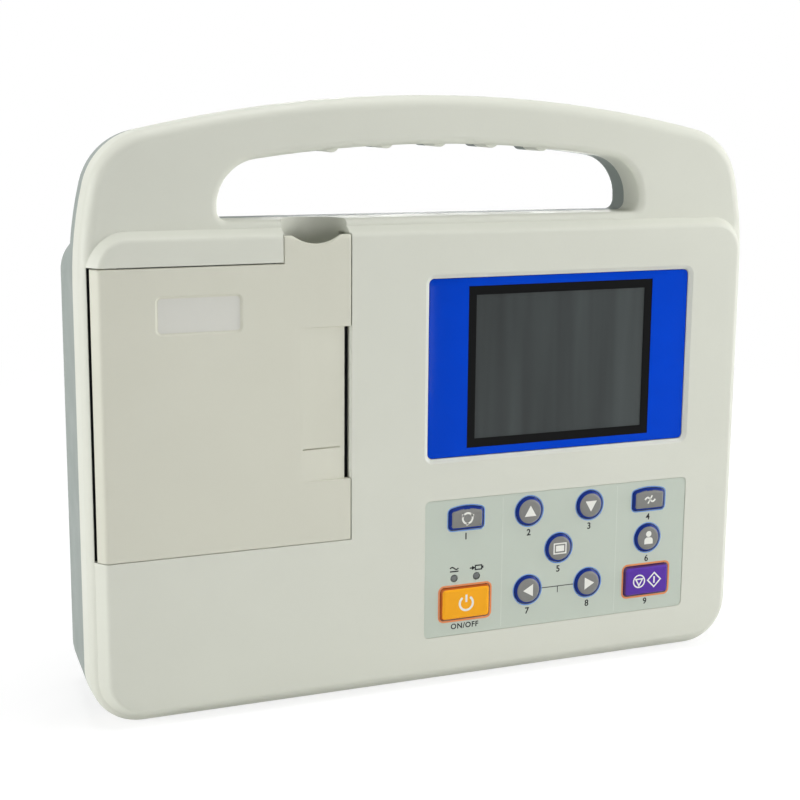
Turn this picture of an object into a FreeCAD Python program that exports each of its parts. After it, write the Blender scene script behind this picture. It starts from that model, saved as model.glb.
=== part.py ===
import FreeCAD, Part
import math
import os

# Portable one-channel electrocardiograph, standing on its lower edge.
# X runs to the right, Y runs from the front panel into the housing, Z runs up.
# Depths are counted from the flat front panel. All lengths are millimetres.

V = FreeCAD.Vector
X_AXIS = V(1, 0, 0)
Y_AXIS = V(0, 1, 0)
Z_AXIS = V(0, 0, 1)
PAST = 2.0  # how far a cutting shape runs past the face that it cuts
NEAR = 0.01  # tolerance for finding edges
SLACK = 0.5  # slack when edges are picked by height

# Housing
BODY_W = 260.0
BODY_H = 218.0
BODY_D = 58.0
WALL = 2.5
RIM_Y = 4.0  # depth of the rim behind the raised panel
PARTING_Y = 17.0  # depth of the joint between the two shells
LOWER_R = 18.0
SIDE_R = 140.0  # slow bend of the upper sides
SIDE_TURN_DEG = 14.0
SHOULDER_R = 24.0
ARCH_RISE = 17.5  # how far the top arches up over the housing's width
RIM_R = 4.5
SHELL_GAP = 0.1

# Raised panel
PANEL_INSET = 5.5
PANEL_RUN = 2.8  # how far the panel's sloped edge spreads down to the rim
PANEL_UPPER_R = 10.0
PANEL_EDGE_R = 2.0
PANEL_ROOT = 1.5  # how far the sloped edge runs on below the rim
PANEL_BAND = 5.5  # from the panel's upper edge to the handle opening

# Carrying handle
HANDLE_BAR = 17.0
HANDLE_SIDE = 47.5  # from the housing's side to the handle opening
HOLE_H = 25.5
HOLE_RISE = 7.0  # how far the opening's upper edge arches up over its width
HOLE_END_R = 16.0
HOLE_FOOT_R = 3.5
HOLE_EDGE_R = 2.5
HANDLE_BACK = 12.0  # thickness of the rear half of the handle
HANDLE_BACK_R = 4.5
RIDGE_COUNT = 5
RIDGE_PITCH = 20.5
RIDGE_R = 3.0
RIDGE_RISE = 1.1

# Rear shell
REAR_STEP = 3.5  # top of the deep part below the handle opening
REAR_UPPER_R = 14.0
REAR_EDGE_R = 9.0
DRAFT_DEG = 4.0

# Shell screws
SCREW_SIDE = 16.0  # from the housing's side
SCREW_Z = 16.0
HANDLE_SCREW_SIDE = 26.0
HANDLE_SCREW_RISE = 12.5  # above the lower edge of the handle opening
SCREW_R = 1.5
SCREW_HEAD_R = 2.8
SCREW_HEAD_T = 2.2
SCREW_SEAT = 4.5
SCREW_GRIP = 9.0
BOSS_R = 4.5
SCREW_PLAY = 0.05
HEAD_PLAY = 0.4
CROSS_L = 3.4
CROSS_W = 0.8
CROSS_D = 1.1

# Paper door
DOOR_SIDE = 3.1  # door's hinge edge from the housing's side
DOOR_W = 90.9
DOOR_DROP = 9.2  # door's upper edge below the panel's upper edge
DOOR_H = 100.3
DOOR_T = 2.4
DOOR_GAP = 0.3
DOOR_LEFT_GAP = 0.8
TAB_W = 24.5
TAB_DROP = -0.3  # tab's upper edge below the panel's upper edge
SCALLOP_W = 18.0
SCALLOP_DROP = 3.0
BADGE_IN = 21.6  # from the door's hinge edge
BADGE_DROP = 22.4  # lower edge of the recess below the door's upper edge
BADGE_W = 29.2
BADGE_H = 12.3
BADGE_R = 1.6
BADGE_DEPTH = 0.6
BADGE_BEVEL = 0.6
RIB_T = 1.5
RIB_H = 2.4
RIB_INSET = 9.0

# Paper slot
SLOT_H = 55.0
SLOT_W = 1.6
SLOT_LIP = 0.7  # how far the shell's bevelled lip reaches over the slot
SLOT_FUNNEL = 17.0
SLOT_SINK = 1.2
MARK_W = 14.0
MARK_DROP = 16.0  # fold mark below the slot's middle
MARK_T = 0.35

# Door hinge
HINGE_INSET = 5.9
HINGE_Y = 4.2
PIN_R = 1.25
PIN_L = 11.0
PIN_PLAY = 0.05
PIN_HOLD = 0.02
KNUCKLE_R = 3.2
KNUCKLE_L = 8.5
LUG_L = 4.5
LUG_T = 2.2

# Finger notch behind the tab
NOTCH_R = 12.0
NOTCH_Y = 3.0
NOTCH_FLOOR = 8.8  # floor of the notch below the tab's upper edge
NOTCH_WALL = 1.8

# Platen roller, carried by the door
PLATEN_R = 5.5
PLATEN_L = 54.0
PLATEN_Y = 9.2
PLATEN_INSET = 5.1  # roller's axis from the slot's door edge
PLATEN_SHAFT_R = 2.0
BUSH_R = 3.0
BUSH_FLANGE_R = 3.8
BUSH_FLANGE_T = 0.6
SHAFT_PLAY = 0.05
ARM_T = 2.5
ARM_HALF = 4.5
ARM_END = 1.2  # arm past the bush
ARM_SPACE = 1.5  # roller's end to the arm
NIP_GAP = 0.3

# Gears of the paper feed
GEAR_MODULE = 0.5
PLATEN_TEETH = 24
IDLER_TEETH = 32
PINION_TEETH = 12
GEAR_T = 3.5
GEAR_SLACK = 0.12
GEAR_LIFT = 0.6  # gears above the chassis flange
ADDENDUM = 0.9  # tooth above the pitch circle, in modules
DEDENDUM = 1.2  # tooth below the pitch circle, in modules
TIP_SHARE = 0.2  # half the tooth's tip, as a share of half a pitch
ROOT_SHARE = 0.66
STUD_R = 1.5
STUD_HEAD_R = 2.2
STUD_HEAD_T = 0.8
MOTOR_R = 10.0
MOTOR_L = 18.0
MOTOR_BOSS_R = 3.0
MOTOR_SHAFT_R = 1.0
MOTOR_EDGE = 0.6

# Print head and printer chassis
HEAD_W = 12.0
HEAD_T = 1.0
HEAD_L = 58.0
HEAD_SHIFT = 1.0  # head to the left of the roller's axis
HEAD_ROOM = 2.0
SINK_W = 15.5
SINK_L = 62.0
CHASSIS_T = 1.2
CHASSIS_LEFT = 18.6
CHASSIS_RIGHT = 13.4
CHASSIS_BELOW = 36.0
CHASSIS_SCREW_IN = 3.2
FLANGE_W = 27.0
FLANGE_L = 27.0
FLANGE_ABOVE = 33.8  # upper flange above the middle of the paper

# Paper tray
TRAY_Y = 17.0
TRAY_T = 2.0
TRAY_MARGIN = 1.6
TRAY_EAR = 8.5
TRAY_WALL_SET = 2.2
TRAY_HINGE_ROOM = 13.0
TRAY_POST_R = 3.0
TRAY_POST_IN = 16.0
TRAY_POST_MID = 55.0
TRAY_POST_LOW = 5.0

# Paper roll
PAPER_W = 50.0
PAPER_R = 21.0
ROLL_INSET = 34.5
ROLL_Y = 27.5
CORE_R = 8.0
CORE_BORE_R = 6.2
SPINDLE_R = 6.0
SPINDLE_PLAY = 0.3
JOURNAL_R = 2.5
JOURNAL_L = 3.2
JOURNAL_PLAY = 0.1
ROLL_ROOM = 2.0
TUB_T = 2.0

# Display
DISPLAY_SHIFT = 4.2  # right of the middle of the panel beside the door
DISPLAY_SHARE = 0.3652  # share of the panel's spare height that lies above the display
LENS_W = 108.2
LENS_H = 66.0
LENS_T = 1.5
LENS_R = 1.8
LENS_SET = 1.2
LENS_PLAY = 0.2
LENS_BEVEL = 1.8
VIEW_W = 76.0
VIEW_H = 59.0
LEDGE_Y = 4.5
LEDGE_MARGIN = 3.0
LCD_W = 76.9
LCD_H = 63.9
LCD_T = 3.2
BRACKET_T = 1.0
BRACKET_MARGIN = 5.5
BRACKET_OPEN_W = 60.0
BRACKET_OPEN_H = 46.0
DISPLAY_POST_R = 2.6
DISPLAY_POST_OUT = 2.6
RIBBON_W = 20.0
RIBBON_T = 0.3
RIBBON_DROP = 14.0

# Keypad
KEYPAD_SHIFT = 0.55  # right of the display's middle
KEYPAD_SHARE = 0.2891  # share of the panel's spare height that lies below the keypad
KEYPAD_W = 111.5
KEYPAD_H = 52.5
KEYPAD_R = 1.8
OVERLAY_T = 0.45
OVERLAY_SET = 0.15
OVERLAY_PLAY = 0.1
KEY_COLUMN = 13.0  # middle column to the arrow keys
SIDE_IN = 16.55  # side keys from the keypad's edge
UPPER_ROW = 18.95
MIDDLE_ROW = 3.25
LOWER_ROW = -12.05
BIG_ROW = -13.9
LIGHT_ROW = -4.15
LIGHT_HALF = 4.6
LIGHT_R = 1.4
LIGHT_COLLAR_R = 1.9
ROUND_KEY_R = 5.55
ARCH_KEY_W = 14.1
ARCH_KEY_H = 8.8
ARCH_KEY_R = 1.5
ARCH_KEY_TOP_R = 22.0
BIG_KEY_W = 20.1
BIG_KEY_H = 12.4
BIG_KEY_R = 1.4
RUN_KEY_W = 19.6
RUN_KEY_H = 11.9
KEY_SLOPE = 1.35
BIG_KEY_SLOPE = 0.85
KEY_RISE = 1.25
KEY_PLAY = 0.25
KEY_FLANGE = 1.0
KEY_FLANGE_T = 1.0
KEY_SEAT = 0.2
KEY_TRAVEL = 1.0
KEY_SPARE = 0.3
MAT_T = 1.2
MAT_INSET = 4.0
KEY_BOARD_OVER = 0.5  # key board past the overlay's edge
BOARD_T = 1.6
KEY_POST_R = 2.6
KEY_POST_IN = 3.0

# Main board
MAIN_DOOR_ROOM = 10.0  # from the door's free edge
MAIN_SIDE_ROOM = 24.0  # from the housing's right side
MAIN_LOW_ROOM = 7.3  # below the key board
MAIN_TOP_ROOM = 5.5  # below the panel's upper edge
MAIN_Y = 21.0
MAIN_POST_R = 3.2
MAIN_POST_IN = 3.4
SMALL_SCREW_R = 1.1
SMALL_HEAD_R = 2.1
SMALL_HEAD_T = 1.4
SMALL_GRIP = 5.0
HEADER_W = 20.0
HEADER_T = 5.0
HEADER_LOW = 6.0
CHIP_W = 14.0
CHIP_T = 1.6
CHIP_PITCH = 22.0
PLUG_W = 22.0
PLUG_H = 6.0
PLUG_IN = 22.0  # plug's middle from the board's end
PLUG_DROP = 18.0
CAN_R = 3.0
CAN_L = 6.0
CAN_PITCH = 14.0
CAN_COUNT = 4
CAN_RISE = 28.0

# Power board
POWER_SIDE = 34.0  # from the housing's right side
POWER_W = 96.0
POWER_Z = 10.0
POWER_H = 68.0
POWER_POST_L = 4.0
POWER_POST_R = 3.0
POWER_POST_IN = 4.0
COIL_W = 26.0
COIL_H = 22.0
COIL_T = 15.0
CAP_R = 7.0
CAP_L = 14.0
CAP_OUT = 27.0
CAP_RISE = 7.0
CHOKE_W = 14.0
CHOKE_H = 7.0
CHOKE_DROP = 21.0

# Battery
BATTERY_SIDE = 82.0  # battery's middle from the housing's right side
BATTERY_Z = 112.0
BATTERY_W = 76.0
BATTERY_H = 40.0
BATTERY_T = 20.0
BATTERY_PLAY = 0.3
BAY_WALL = 1.6
COVER_T = 1.6
COVER_PLAY = 0.3
COVER_SIDE = 9.0
COVER_EDGE = 3.0
COVER_R = 3.0
COVER_BOSS_R = 3.2
COVER_BOSS_L = 7.0
COVER_SCREW_OUT = 5.2
COVER_HEAD_SINK = 1.1

# Connector recess in the right side
PORT_SINK = 4.5
PORT_Y = 35.0
PORT_WIDE = 26.0
PORT_LOW = 18.0
PORT_HIGH = 142.0
PORT_MARGIN = 3.0
INLET_Z = 42.0
INLET_W = 19.5
INLET_H = 27.0
INLET_L = 15.0
INLET_FLANGE_T = 2.0
INLET_LIP = 1.7
INLET_WELL_W = 15.6
INLET_WELL_H = 24.0
INLET_WELL_D = 14.0
INLET_WELL_R = 3.0
INLET_PLAY = 0.2
BLADE_W = 4.0
BLADE_T = 2.0
BLADE_PITCH = 7.0
BLADE_OFFSET = 2.0
BLADE_TAIL = 4.0
BLADE_SHY = 2.5
EARTH_Z = 78.0
EARTH_WELL_R = 7.5
EARTH_WELL_D = 6.0
EARTH_PIN_R = 3.0
EARTH_PIN_L = 9.0
EARTH_NUT_R = 5.0
EARTH_NUT_T = 3.0
NUT_SIDE_COUNT = 6
EARTH_COLLAR_T = 1.0
EARTH_TAIL = 1.0
LEAD_Z = 115.0
LEAD_PLATE_H = 39.2
LEAD_PLATE_W = 12.5
LEAD_PLATE_T = 1.2
LEAD_SHELL_H = 25.0
LEAD_SHELL_W = 8.4
LEAD_SHELL_L = 3.0
LEAD_BODY_L = 10.0
LEAD_TAPER = 1.4
LEAD_PIN_R = 0.6
LEAD_PIN_PITCH = 2.76
LEAD_PIN_ROW = 2.84
LEAD_PIN_COUNT = 8
LEAD_PIN_D = 2.2
JACK_HALF = 16.65
JACK_R = 2.5
JACK_L = 3.0
JACK_SHANK_R = 1.2
JACK_THREAD_R = 1.42
JACK_FLOOR = 0.5  # below the threaded bore
JACK_SHANK_L = 6.0

# Loudspeaker
SPEAKER_SIDE = 52.0  # from the housing's left side
SPEAKER_Z = 34.0
SPEAKER_R = 14.0
SPEAKER_T = 5.0
SPEAKER_RING = 1.6
SPEAKER_PLAY = 0.2
GRILLE_R = 1.2
GRILLE_RING_COUNT = 3
GRILLE_FIRST_COUNT = 6  # holes in the first ring, and more in each further ring
GRILLE_STEP = 3.6

# Feet on the back
FOOT_SIDE = 26.0  # from the housing's side
FOOT_LOW_Z = 24.0
FOOT_DROP = 24.0  # upper feet below the top of the deep part
FOOT_R = 7.0
FOOT_RISE = 2.5
FOOT_SINK = 1.0
FOOT_PLAY = 0.15

# Places that follow from the sizes above
HALF_W = BODY_W / 2
HOLE_W = BODY_W - 2 * HANDLE_SIDE
ARCH_R = (HALF_W ** 2 + ARCH_RISE ** 2) / (2 * ARCH_RISE)
HOLE_ARCH_R = (HOLE_W ** 2 / 4 + HOLE_RISE ** 2) / (2 * HOLE_RISE)
HOLE_TOP = BODY_H - HANDLE_BAR
HOLE_Z = HOLE_TOP - HOLE_H
PANEL_TOP = HOLE_Z - PANEL_BAND
REAR_TOP = HOLE_Z - REAR_STEP
HANDLE_Y = PARTING_Y + HANDLE_BACK
SCREW_X = HALF_W - SCREW_SIDE
HANDLE_SCREW_X = HALF_W - HANDLE_SCREW_SIDE
DOOR_X = DOOR_SIDE - HALF_W
DOOR_RIGHT = DOOR_X + DOOR_W
DOOR_TOP = PANEL_TOP - DOOR_DROP
DOOR_Z = DOOR_TOP - DOOR_H
BADGE_X = DOOR_X + BADGE_IN
BADGE_Z = DOOR_TOP - BADGE_DROP
TAB_X = DOOR_RIGHT - TAB_W
TAB_MID = DOOR_RIGHT - TAB_W / 2
TAB_TOP = PANEL_TOP - TAB_DROP
PAPER_Z = DOOR_Z + DOOR_H / 2
OPEN_RIGHT = DOOR_RIGHT + DOOR_GAP
LIP_X = OPEN_RIGHT - SLOT_LIP
SLOT_X = LIP_X - SLOT_W
HINGE_X = DOOR_X + HINGE_INSET
PLATEN_X = SLOT_X - PLATEN_INSET
PITCH_STEP = GEAR_MODULE / 2
IDLER_Y = PLATEN_Y + PITCH_STEP * (PLATEN_TEETH + IDLER_TEETH) + GEAR_SLACK
PINION_Y = IDLER_Y + PITCH_STEP * (IDLER_TEETH + PINION_TEETH) + GEAR_SLACK
FLANGE_Z = PAPER_Z + FLANGE_ABOVE
GEAR_Z = FLANGE_Z + CHASSIS_T + GEAR_LIFT
ARM_Z = PLATEN_L / 2 + ARM_SPACE
CHASSIS_Y = TRAY_Y + TRAY_T
HEAD_Y = PLATEN_Y + PLATEN_R + NIP_GAP
ROLL_X = DOOR_X + ROLL_INSET
TUB_R = PAPER_R + ROLL_ROOM
SPINDLE_HALF = PAPER_W / 2 + ROLL_ROOM - SPINDLE_PLAY
TUB_HALF = PAPER_W / 2 + ROLL_ROOM
DISPLAY_X = (OPEN_RIGHT + HALF_W - PANEL_INSET) / 2 + DISPLAY_SHIFT
SPARE_H = PANEL_TOP - PANEL_INSET - LENS_H - KEYPAD_H
DISPLAY_Z = PANEL_TOP - DISPLAY_SHARE * SPARE_H - LENS_H / 2
KEYPAD_X = DISPLAY_X + KEYPAD_SHIFT
SIDE_COLUMN = KEYPAD_W / 2 - SIDE_IN
KEYPAD_Z = PANEL_INSET + KEYPAD_SHARE * SPARE_H + KEYPAD_H / 2
LENS_BACK = LENS_SET + LENS_T
LCD_Y = LEDGE_Y + SHELL_GAP
BRACKET_Y = LCD_Y + LCD_T + SHELL_GAP
OVERLAY_BACK = OVERLAY_SET + OVERLAY_T
KEY_FLANGE_Y = WALL + KEY_SEAT
MAT_Y = KEY_FLANGE_Y + KEY_FLANGE_T + KEY_TRAVEL + KEY_SPARE
KEY_BOARD_Y = MAT_Y + MAT_T
MAIN_X = DOOR_RIGHT + MAIN_DOOR_ROOM
MAIN_W = HALF_W - MAIN_SIDE_ROOM - MAIN_X
MAIN_Z = KEYPAD_Z - KEYPAD_H / 2 - KEY_BOARD_OVER - MAIN_LOW_ROOM
MAIN_H = PANEL_TOP - MAIN_TOP_ROOM - MAIN_Z
BACK_Y = BODY_D - WALL
POWER_X = HALF_W - POWER_SIDE - POWER_W
BATTERY_X = HALF_W - BATTERY_SIDE
SPEAKER_X = SPEAKER_SIDE - HALF_W
FOOT_X = HALF_W - FOOT_SIDE
FOOT_HIGH_Z = REAR_TOP - FOOT_DROP
POWER_Y = BACK_Y - POWER_POST_L - BOARD_T
BAY_Y = BODY_D - COVER_T - 2 * BATTERY_PLAY - BATTERY_T
PORT_X = HALF_W - PORT_SINK
EARTH_X = PORT_X - EARTH_WELL_D
FRONT_Y = OVERLAY_SET - KEY_RISE
FULL_BACK_Y = BODY_D + FOOT_RISE
MIDDLE_Y = (FRONT_Y + FULL_BACK_Y) / 2


# Plain shapes

def line(a, b):
    return Part.LineSegment(a, b).toShape()


def arc(a, middle, b):
    return Part.Arc(a, middle, b).toShape()


def box(x0, x1, y0, y1, z0, z1):
    return Part.makeBox(x1 - x0, y1 - y0, z1 - z0, V(x0, y0, z0))


def rod(x, y, z, radius, length, axis):
    return Part.makeCylinder(radius, length, V(x, y, z), axis)


def slab(wire, depth):
    return Part.Face(wire).extrude(V(0, depth, 0))


def rounded(corners, y):
    # closed outline at depth y through corners given as (x, z, radius)
    points = [V(x, y, z) for x, z, radius in corners]
    count = len(points)
    starts, edges = [], []
    for i, (x, z, radius) in enumerate(corners):
        point = points[i]
        back = (points[i - 1] - point).normalize()
        ahead = (points[(i + 1) % count] - point).normalize()
        if radius == 0:
            starts.append((point, point))
            continue
        half = back.getAngle(ahead) / 2
        reach = radius / math.tan(half)
        inward = (back + ahead).normalize()
        middle = point + inward * (radius / math.sin(half) - radius)
        first, last = point + back * reach, point + ahead * reach
        edges.append((i, arc(first, middle, last)))
        starts.append((first, last))
    arcs = dict(edges)
    ordered = []
    for i in range(count):
        if i in arcs:
            ordered.append(arcs[i])
        ordered.append(line(starts[i][1], starts[(i + 1) % count][0]))
    return Part.Wire(ordered)


def rect(x0, x1, z0, z1, radius, y):
    return rounded([(x0, z0, radius), (x1, z0, radius), (x1, z1, radius), (x0, z1, radius)], y)


def centred(x, z, width, height, radius, y, grow=0.0):
    half_w, half_h = width / 2 + grow, height / 2 + grow
    return rect(x - half_w, x + half_w, z - half_h, z + half_h, radius + max(grow, -radius / 2), y)


def arched(x, half, low, low_r, end_r, crown, arch_r, y):
    # flat foot, upright sides, round shoulders and a shallow arch on top
    arch_z = crown - arch_r
    side = half - end_r
    end_z = arch_z + math.sqrt((arch_r - end_r) ** 2 - side ** 2)
    lean = math.atan2(side, end_z - arch_z)
    top_x, top_z = arch_r * math.sin(lean), arch_z + arch_r * math.cos(lean)
    turn = (math.pi / 2 - lean) / 2
    mid_x, mid_z = side + end_r * math.cos(turn), end_z + end_r * math.sin(turn)
    cut = low_r * (1 - math.sqrt(0.5))

    def p(dx, z):
        return V(x + dx, y, z)

    return Part.Wire([
        line(p(low_r - half, low), p(half - low_r, low)),
        arc(p(half - low_r, low), p(half - cut, low + cut), p(half, low + low_r)),
        line(p(half, low + low_r), p(half, end_z)),
        arc(p(half, end_z), p(mid_x, mid_z), p(top_x, top_z)),
        arc(p(top_x, top_z), p(0, crown), p(-top_x, top_z)),
        arc(p(-top_x, top_z), p(-mid_x, mid_z), p(-half, end_z)),
        line(p(-half, end_z), p(-half, low + low_r)),
        arc(p(-half, low + low_r), p(cut - half, low + cut), p(low_r - half, low)),
    ])


def outline(inset, y):
    # flat foot, upright sides that bend inwards higher up, round shoulders and a shallow arch on top
    half, low_r = HALF_W - inset, LOWER_R - inset
    cut = low_r * (1 - math.sqrt(0.5))
    arch_z = BODY_H - ARCH_R
    turn = math.radians(SIDE_TURN_DEG)
    bend_x = HALF_W - SIDE_R
    shoulder_x = bend_x + (SIDE_R - SHOULDER_R) * math.cos(turn)
    shoulder_z = arch_z + math.sqrt((ARCH_R - SHOULDER_R) ** 2 - shoulder_x ** 2)
    bend_z = shoulder_z - (SIDE_R - SHOULDER_R) * math.sin(turn)
    lean = math.atan2(shoulder_z - arch_z, shoulder_x)

    def p(x, z):
        return V(x, y, z)

    def swept(x, z, radius, first, last, side):
        # arc about a middle between two angles, on the right side or mirrored to the left
        angles = (first, (first + last) / 2, last)
        return arc(*[p(side * (x + radius * math.cos(a)), z + radius * math.sin(a)) for a in angles])

    return Part.Wire([
        line(p(low_r - half, inset), p(half - low_r, inset)),
        arc(p(half - low_r, inset), p(half - cut, inset + cut), p(half, inset + low_r)),
        line(p(half, inset + low_r), p(half, bend_z)),
        swept(bend_x, bend_z, SIDE_R - inset, 0, turn, 1),
        swept(shoulder_x, shoulder_z, SHOULDER_R - inset, turn, lean, 1),
        swept(0, arch_z, ARCH_R - inset, lean, math.pi - lean, 1),
        swept(shoulder_x, shoulder_z, SHOULDER_R - inset, lean, turn, -1),
        swept(bend_x, bend_z, SIDE_R - inset, turn, 0, -1),
        line(p(-half, bend_z), p(-half, inset + low_r)),
        arc(p(-half, inset + low_r), p(cut - half, inset + cut), p(low_r - half, inset)),
    ])


def hole(grow, y):
    return arched(0, HOLE_W / 2 + grow, HOLE_Z - grow, HOLE_FOOT_R + grow, HOLE_END_R + grow,
                  HOLE_TOP + grow, HOLE_ARCH_R + grow, y)


def flat_edges(shape, y, low_z=-PAST, high_z=BODY_H + PAST):
    # edges that lie in the plane at depth y, between two heights
    found = []
    for edge in shape.Edges:
        b = edge.BoundBox
        level = abs(b.YMin - y) < NEAR and abs(b.YMax - y) < NEAR
        if level and b.ZMin > low_z and b.ZMax < high_z:
            found.append(edge)
    return found


def joined(first, others):
    return first.fuse(others).removeSplitter() if others else first


def compound(shapes):
    return Part.makeCompound(shapes)


def corner_points(x0, x1, z0, z1, inset):
    return [(x, z) for x in (x0 + inset, x1 - inset) for z in (z0 + inset, z1 - inset)]


# Fastener places, shared by the shells, the boards and the screws

SHELL_SCREWS = [(x, SCREW_Z) for x in (-SCREW_X, SCREW_X)]
SHELL_SCREWS += [(x, HOLE_Z + HANDLE_SCREW_RISE) for x in (-HANDLE_SCREW_X, HANDLE_SCREW_X)]
SCREW_SEAT_Y = PARTING_Y + SCREW_SEAT
KEY_BOARD_HALF_W = KEYPAD_W / 2 + KEY_BOARD_OVER
KEY_BOARD_HALF_H = KEYPAD_H / 2 + KEY_BOARD_OVER
KEY_BOARD = (KEYPAD_X - KEY_BOARD_HALF_W, KEYPAD_X + KEY_BOARD_HALF_W,
             KEYPAD_Z - KEY_BOARD_HALF_H, KEYPAD_Z + KEY_BOARD_HALF_H)
KEY_POSTS = corner_points(*KEY_BOARD, KEY_POST_IN)
DISPLAY_POSTS = corner_points(DISPLAY_X - LCD_W / 2, DISPLAY_X + LCD_W / 2,
                              DISPLAY_Z - LCD_H / 2, DISPLAY_Z + LCD_H / 2, -DISPLAY_POST_OUT)
MAIN_POSTS = corner_points(MAIN_X, MAIN_X + MAIN_W, MAIN_Z, MAIN_Z + MAIN_H, MAIN_POST_IN)
POWER_POSTS = corner_points(POWER_X, POWER_X + POWER_W, POWER_Z, POWER_Z + POWER_H, POWER_POST_IN)
TRAY_POSTS = [(DOOR_X + TRAY_POST_IN, DOOR_Z - TRAY_POST_LOW),
              (DOOR_RIGHT - TRAY_POST_IN / 2, DOOR_Z - TRAY_POST_LOW),
              (DOOR_X + TRAY_POST_IN, DOOR_TOP + TRAY_POST_LOW),
              (DOOR_X + TRAY_POST_MID, DOOR_TOP + TRAY_POST_LOW)]
CHASSIS_SCREW_X = PLATEN_X - CHASSIS_LEFT + CHASSIS_SCREW_IN
CHASSIS_SCREWS = [(CHASSIS_SCREW_X, PAPER_Z - TUB_HALF), (CHASSIS_SCREW_X, PAPER_Z + TUB_HALF)]
COVER_SCREW_X = BATTERY_W / 2 + BATTERY_PLAY + COVER_SCREW_OUT
COVER_SCREWS = [(BATTERY_X - COVER_SCREW_X, BATTERY_Z), (BATTERY_X + COVER_SCREW_X, BATTERY_Z)]
FEET = [(x, z) for x in (-FOOT_X, FOOT_X) for z in (FOOT_LOW_Z, FOOT_HIGH_Z)]


# Keys: name, kind, column and row from the middle of the keypad

KEYS = {
    "key_mode": ("arch", -SIDE_COLUMN, UPPER_ROW),
    "key_up": ("round", -KEY_COLUMN, UPPER_ROW),
    "key_down": ("round", KEY_COLUMN, UPPER_ROW),
    "key_filter": ("arch", SIDE_COLUMN, UPPER_ROW),
    "key_menu": ("round", 0.0, MIDDLE_ROW),
    "key_patient": ("round", SIDE_COLUMN, MIDDLE_ROW),
    "key_left": ("round", -KEY_COLUMN, LOWER_ROW),
    "key_right": ("round", KEY_COLUMN, LOWER_ROW),
    "key_power": ("big", -SIDE_COLUMN, BIG_ROW),
    "key_run": ("run", SIDE_COLUMN, BIG_ROW),
}
LIGHTS = [(KEYPAD_X - SIDE_COLUMN + side, KEYPAD_Z + LIGHT_ROW) for side in (-LIGHT_HALF, LIGHT_HALF)]


def key_outline(name, grow, y):
    kind, column, row = KEYS[name]
    x, z = KEYPAD_X + column, KEYPAD_Z + row
    if kind == "round":
        ring = Part.Circle(V(x, y, z), Y_AXIS, ROUND_KEY_R + grow)
        return Part.Wire([ring.toShape()])
    if kind == "big":
        return centred(x, z, BIG_KEY_W, BIG_KEY_H, BIG_KEY_R, y, grow)
    if kind == "run":
        return centred(x, z, RUN_KEY_W, RUN_KEY_H, BIG_KEY_R, y, grow)
    corner = ARCH_KEY_R + max(grow, -ARCH_KEY_R / 2)
    return arched(x, ARCH_KEY_W / 2 + grow, z - ARCH_KEY_H / 2 - grow, corner, corner,
                  z + ARCH_KEY_H / 2 + grow, ARCH_KEY_TOP_R + grow, y)


# Front shell

def door_outline(gap, left_gap, y):
    left, right = DOOR_X - left_gap, DOOR_RIGHT + gap
    low, high = DOOR_Z - gap, DOOR_TOP + gap
    corners = [(left, low, 0), (right, low, 0), (right, TAB_TOP + gap, 0),
               (TAB_X - gap, TAB_TOP + gap, 0), (TAB_X - gap, high, 0), (left, high, 0)]
    return rounded(corners, y)


def panel_outline(spread, y):
    inset = PANEL_INSET - spread
    low_r = LOWER_R - inset
    top_r = PANEL_UPPER_R + spread
    half = HALF_W - inset
    return rounded([(-half, inset, low_r), (half, inset, low_r),
                    (half, PANEL_TOP + spread, top_r), (-half, PANEL_TOP + spread, top_r)], y)


def front_block():
    # the front half as a solid block, with the raised panel and the handle opening
    rim = slab(outline(0, RIM_Y), PARTING_Y - RIM_Y)
    rim = rim.makeFillet(RIM_R, flat_edges(rim, RIM_Y))
    rim = rim.cut(slab(hole(0, RIM_Y - PAST), PARTING_Y + PAST))
    rim = rim.makeFillet(HOLE_EDGE_R, flat_edges(rim, RIM_Y, HOLE_Z - SLACK, HOLE_TOP + SLACK))
    deep = RIM_Y + PANEL_ROOT
    slope = PANEL_RUN * deep / RIM_Y
    panel = Part.makeLoft([panel_outline(0, 0), panel_outline(slope, deep)], True, True)
    panel = panel.makeFillet(PANEL_EDGE_R, flat_edges(panel, 0))
    return rim.fuse(panel)


def ridge(x, y0, y1):
    z = HOLE_TOP - HOLE_ARCH_R + math.sqrt(HOLE_ARCH_R ** 2 - x ** 2)
    return rod(x, y0, z + RIDGE_R - RIDGE_RISE, RIDGE_R, y1 - y0, Y_AXIS)


def ridges(y0, y1):
    first = -RIDGE_PITCH * (RIDGE_COUNT - 1) / 2
    return [ridge(first + RIDGE_PITCH * i, y0, y1) for i in range(RIDGE_COUNT)]


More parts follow.
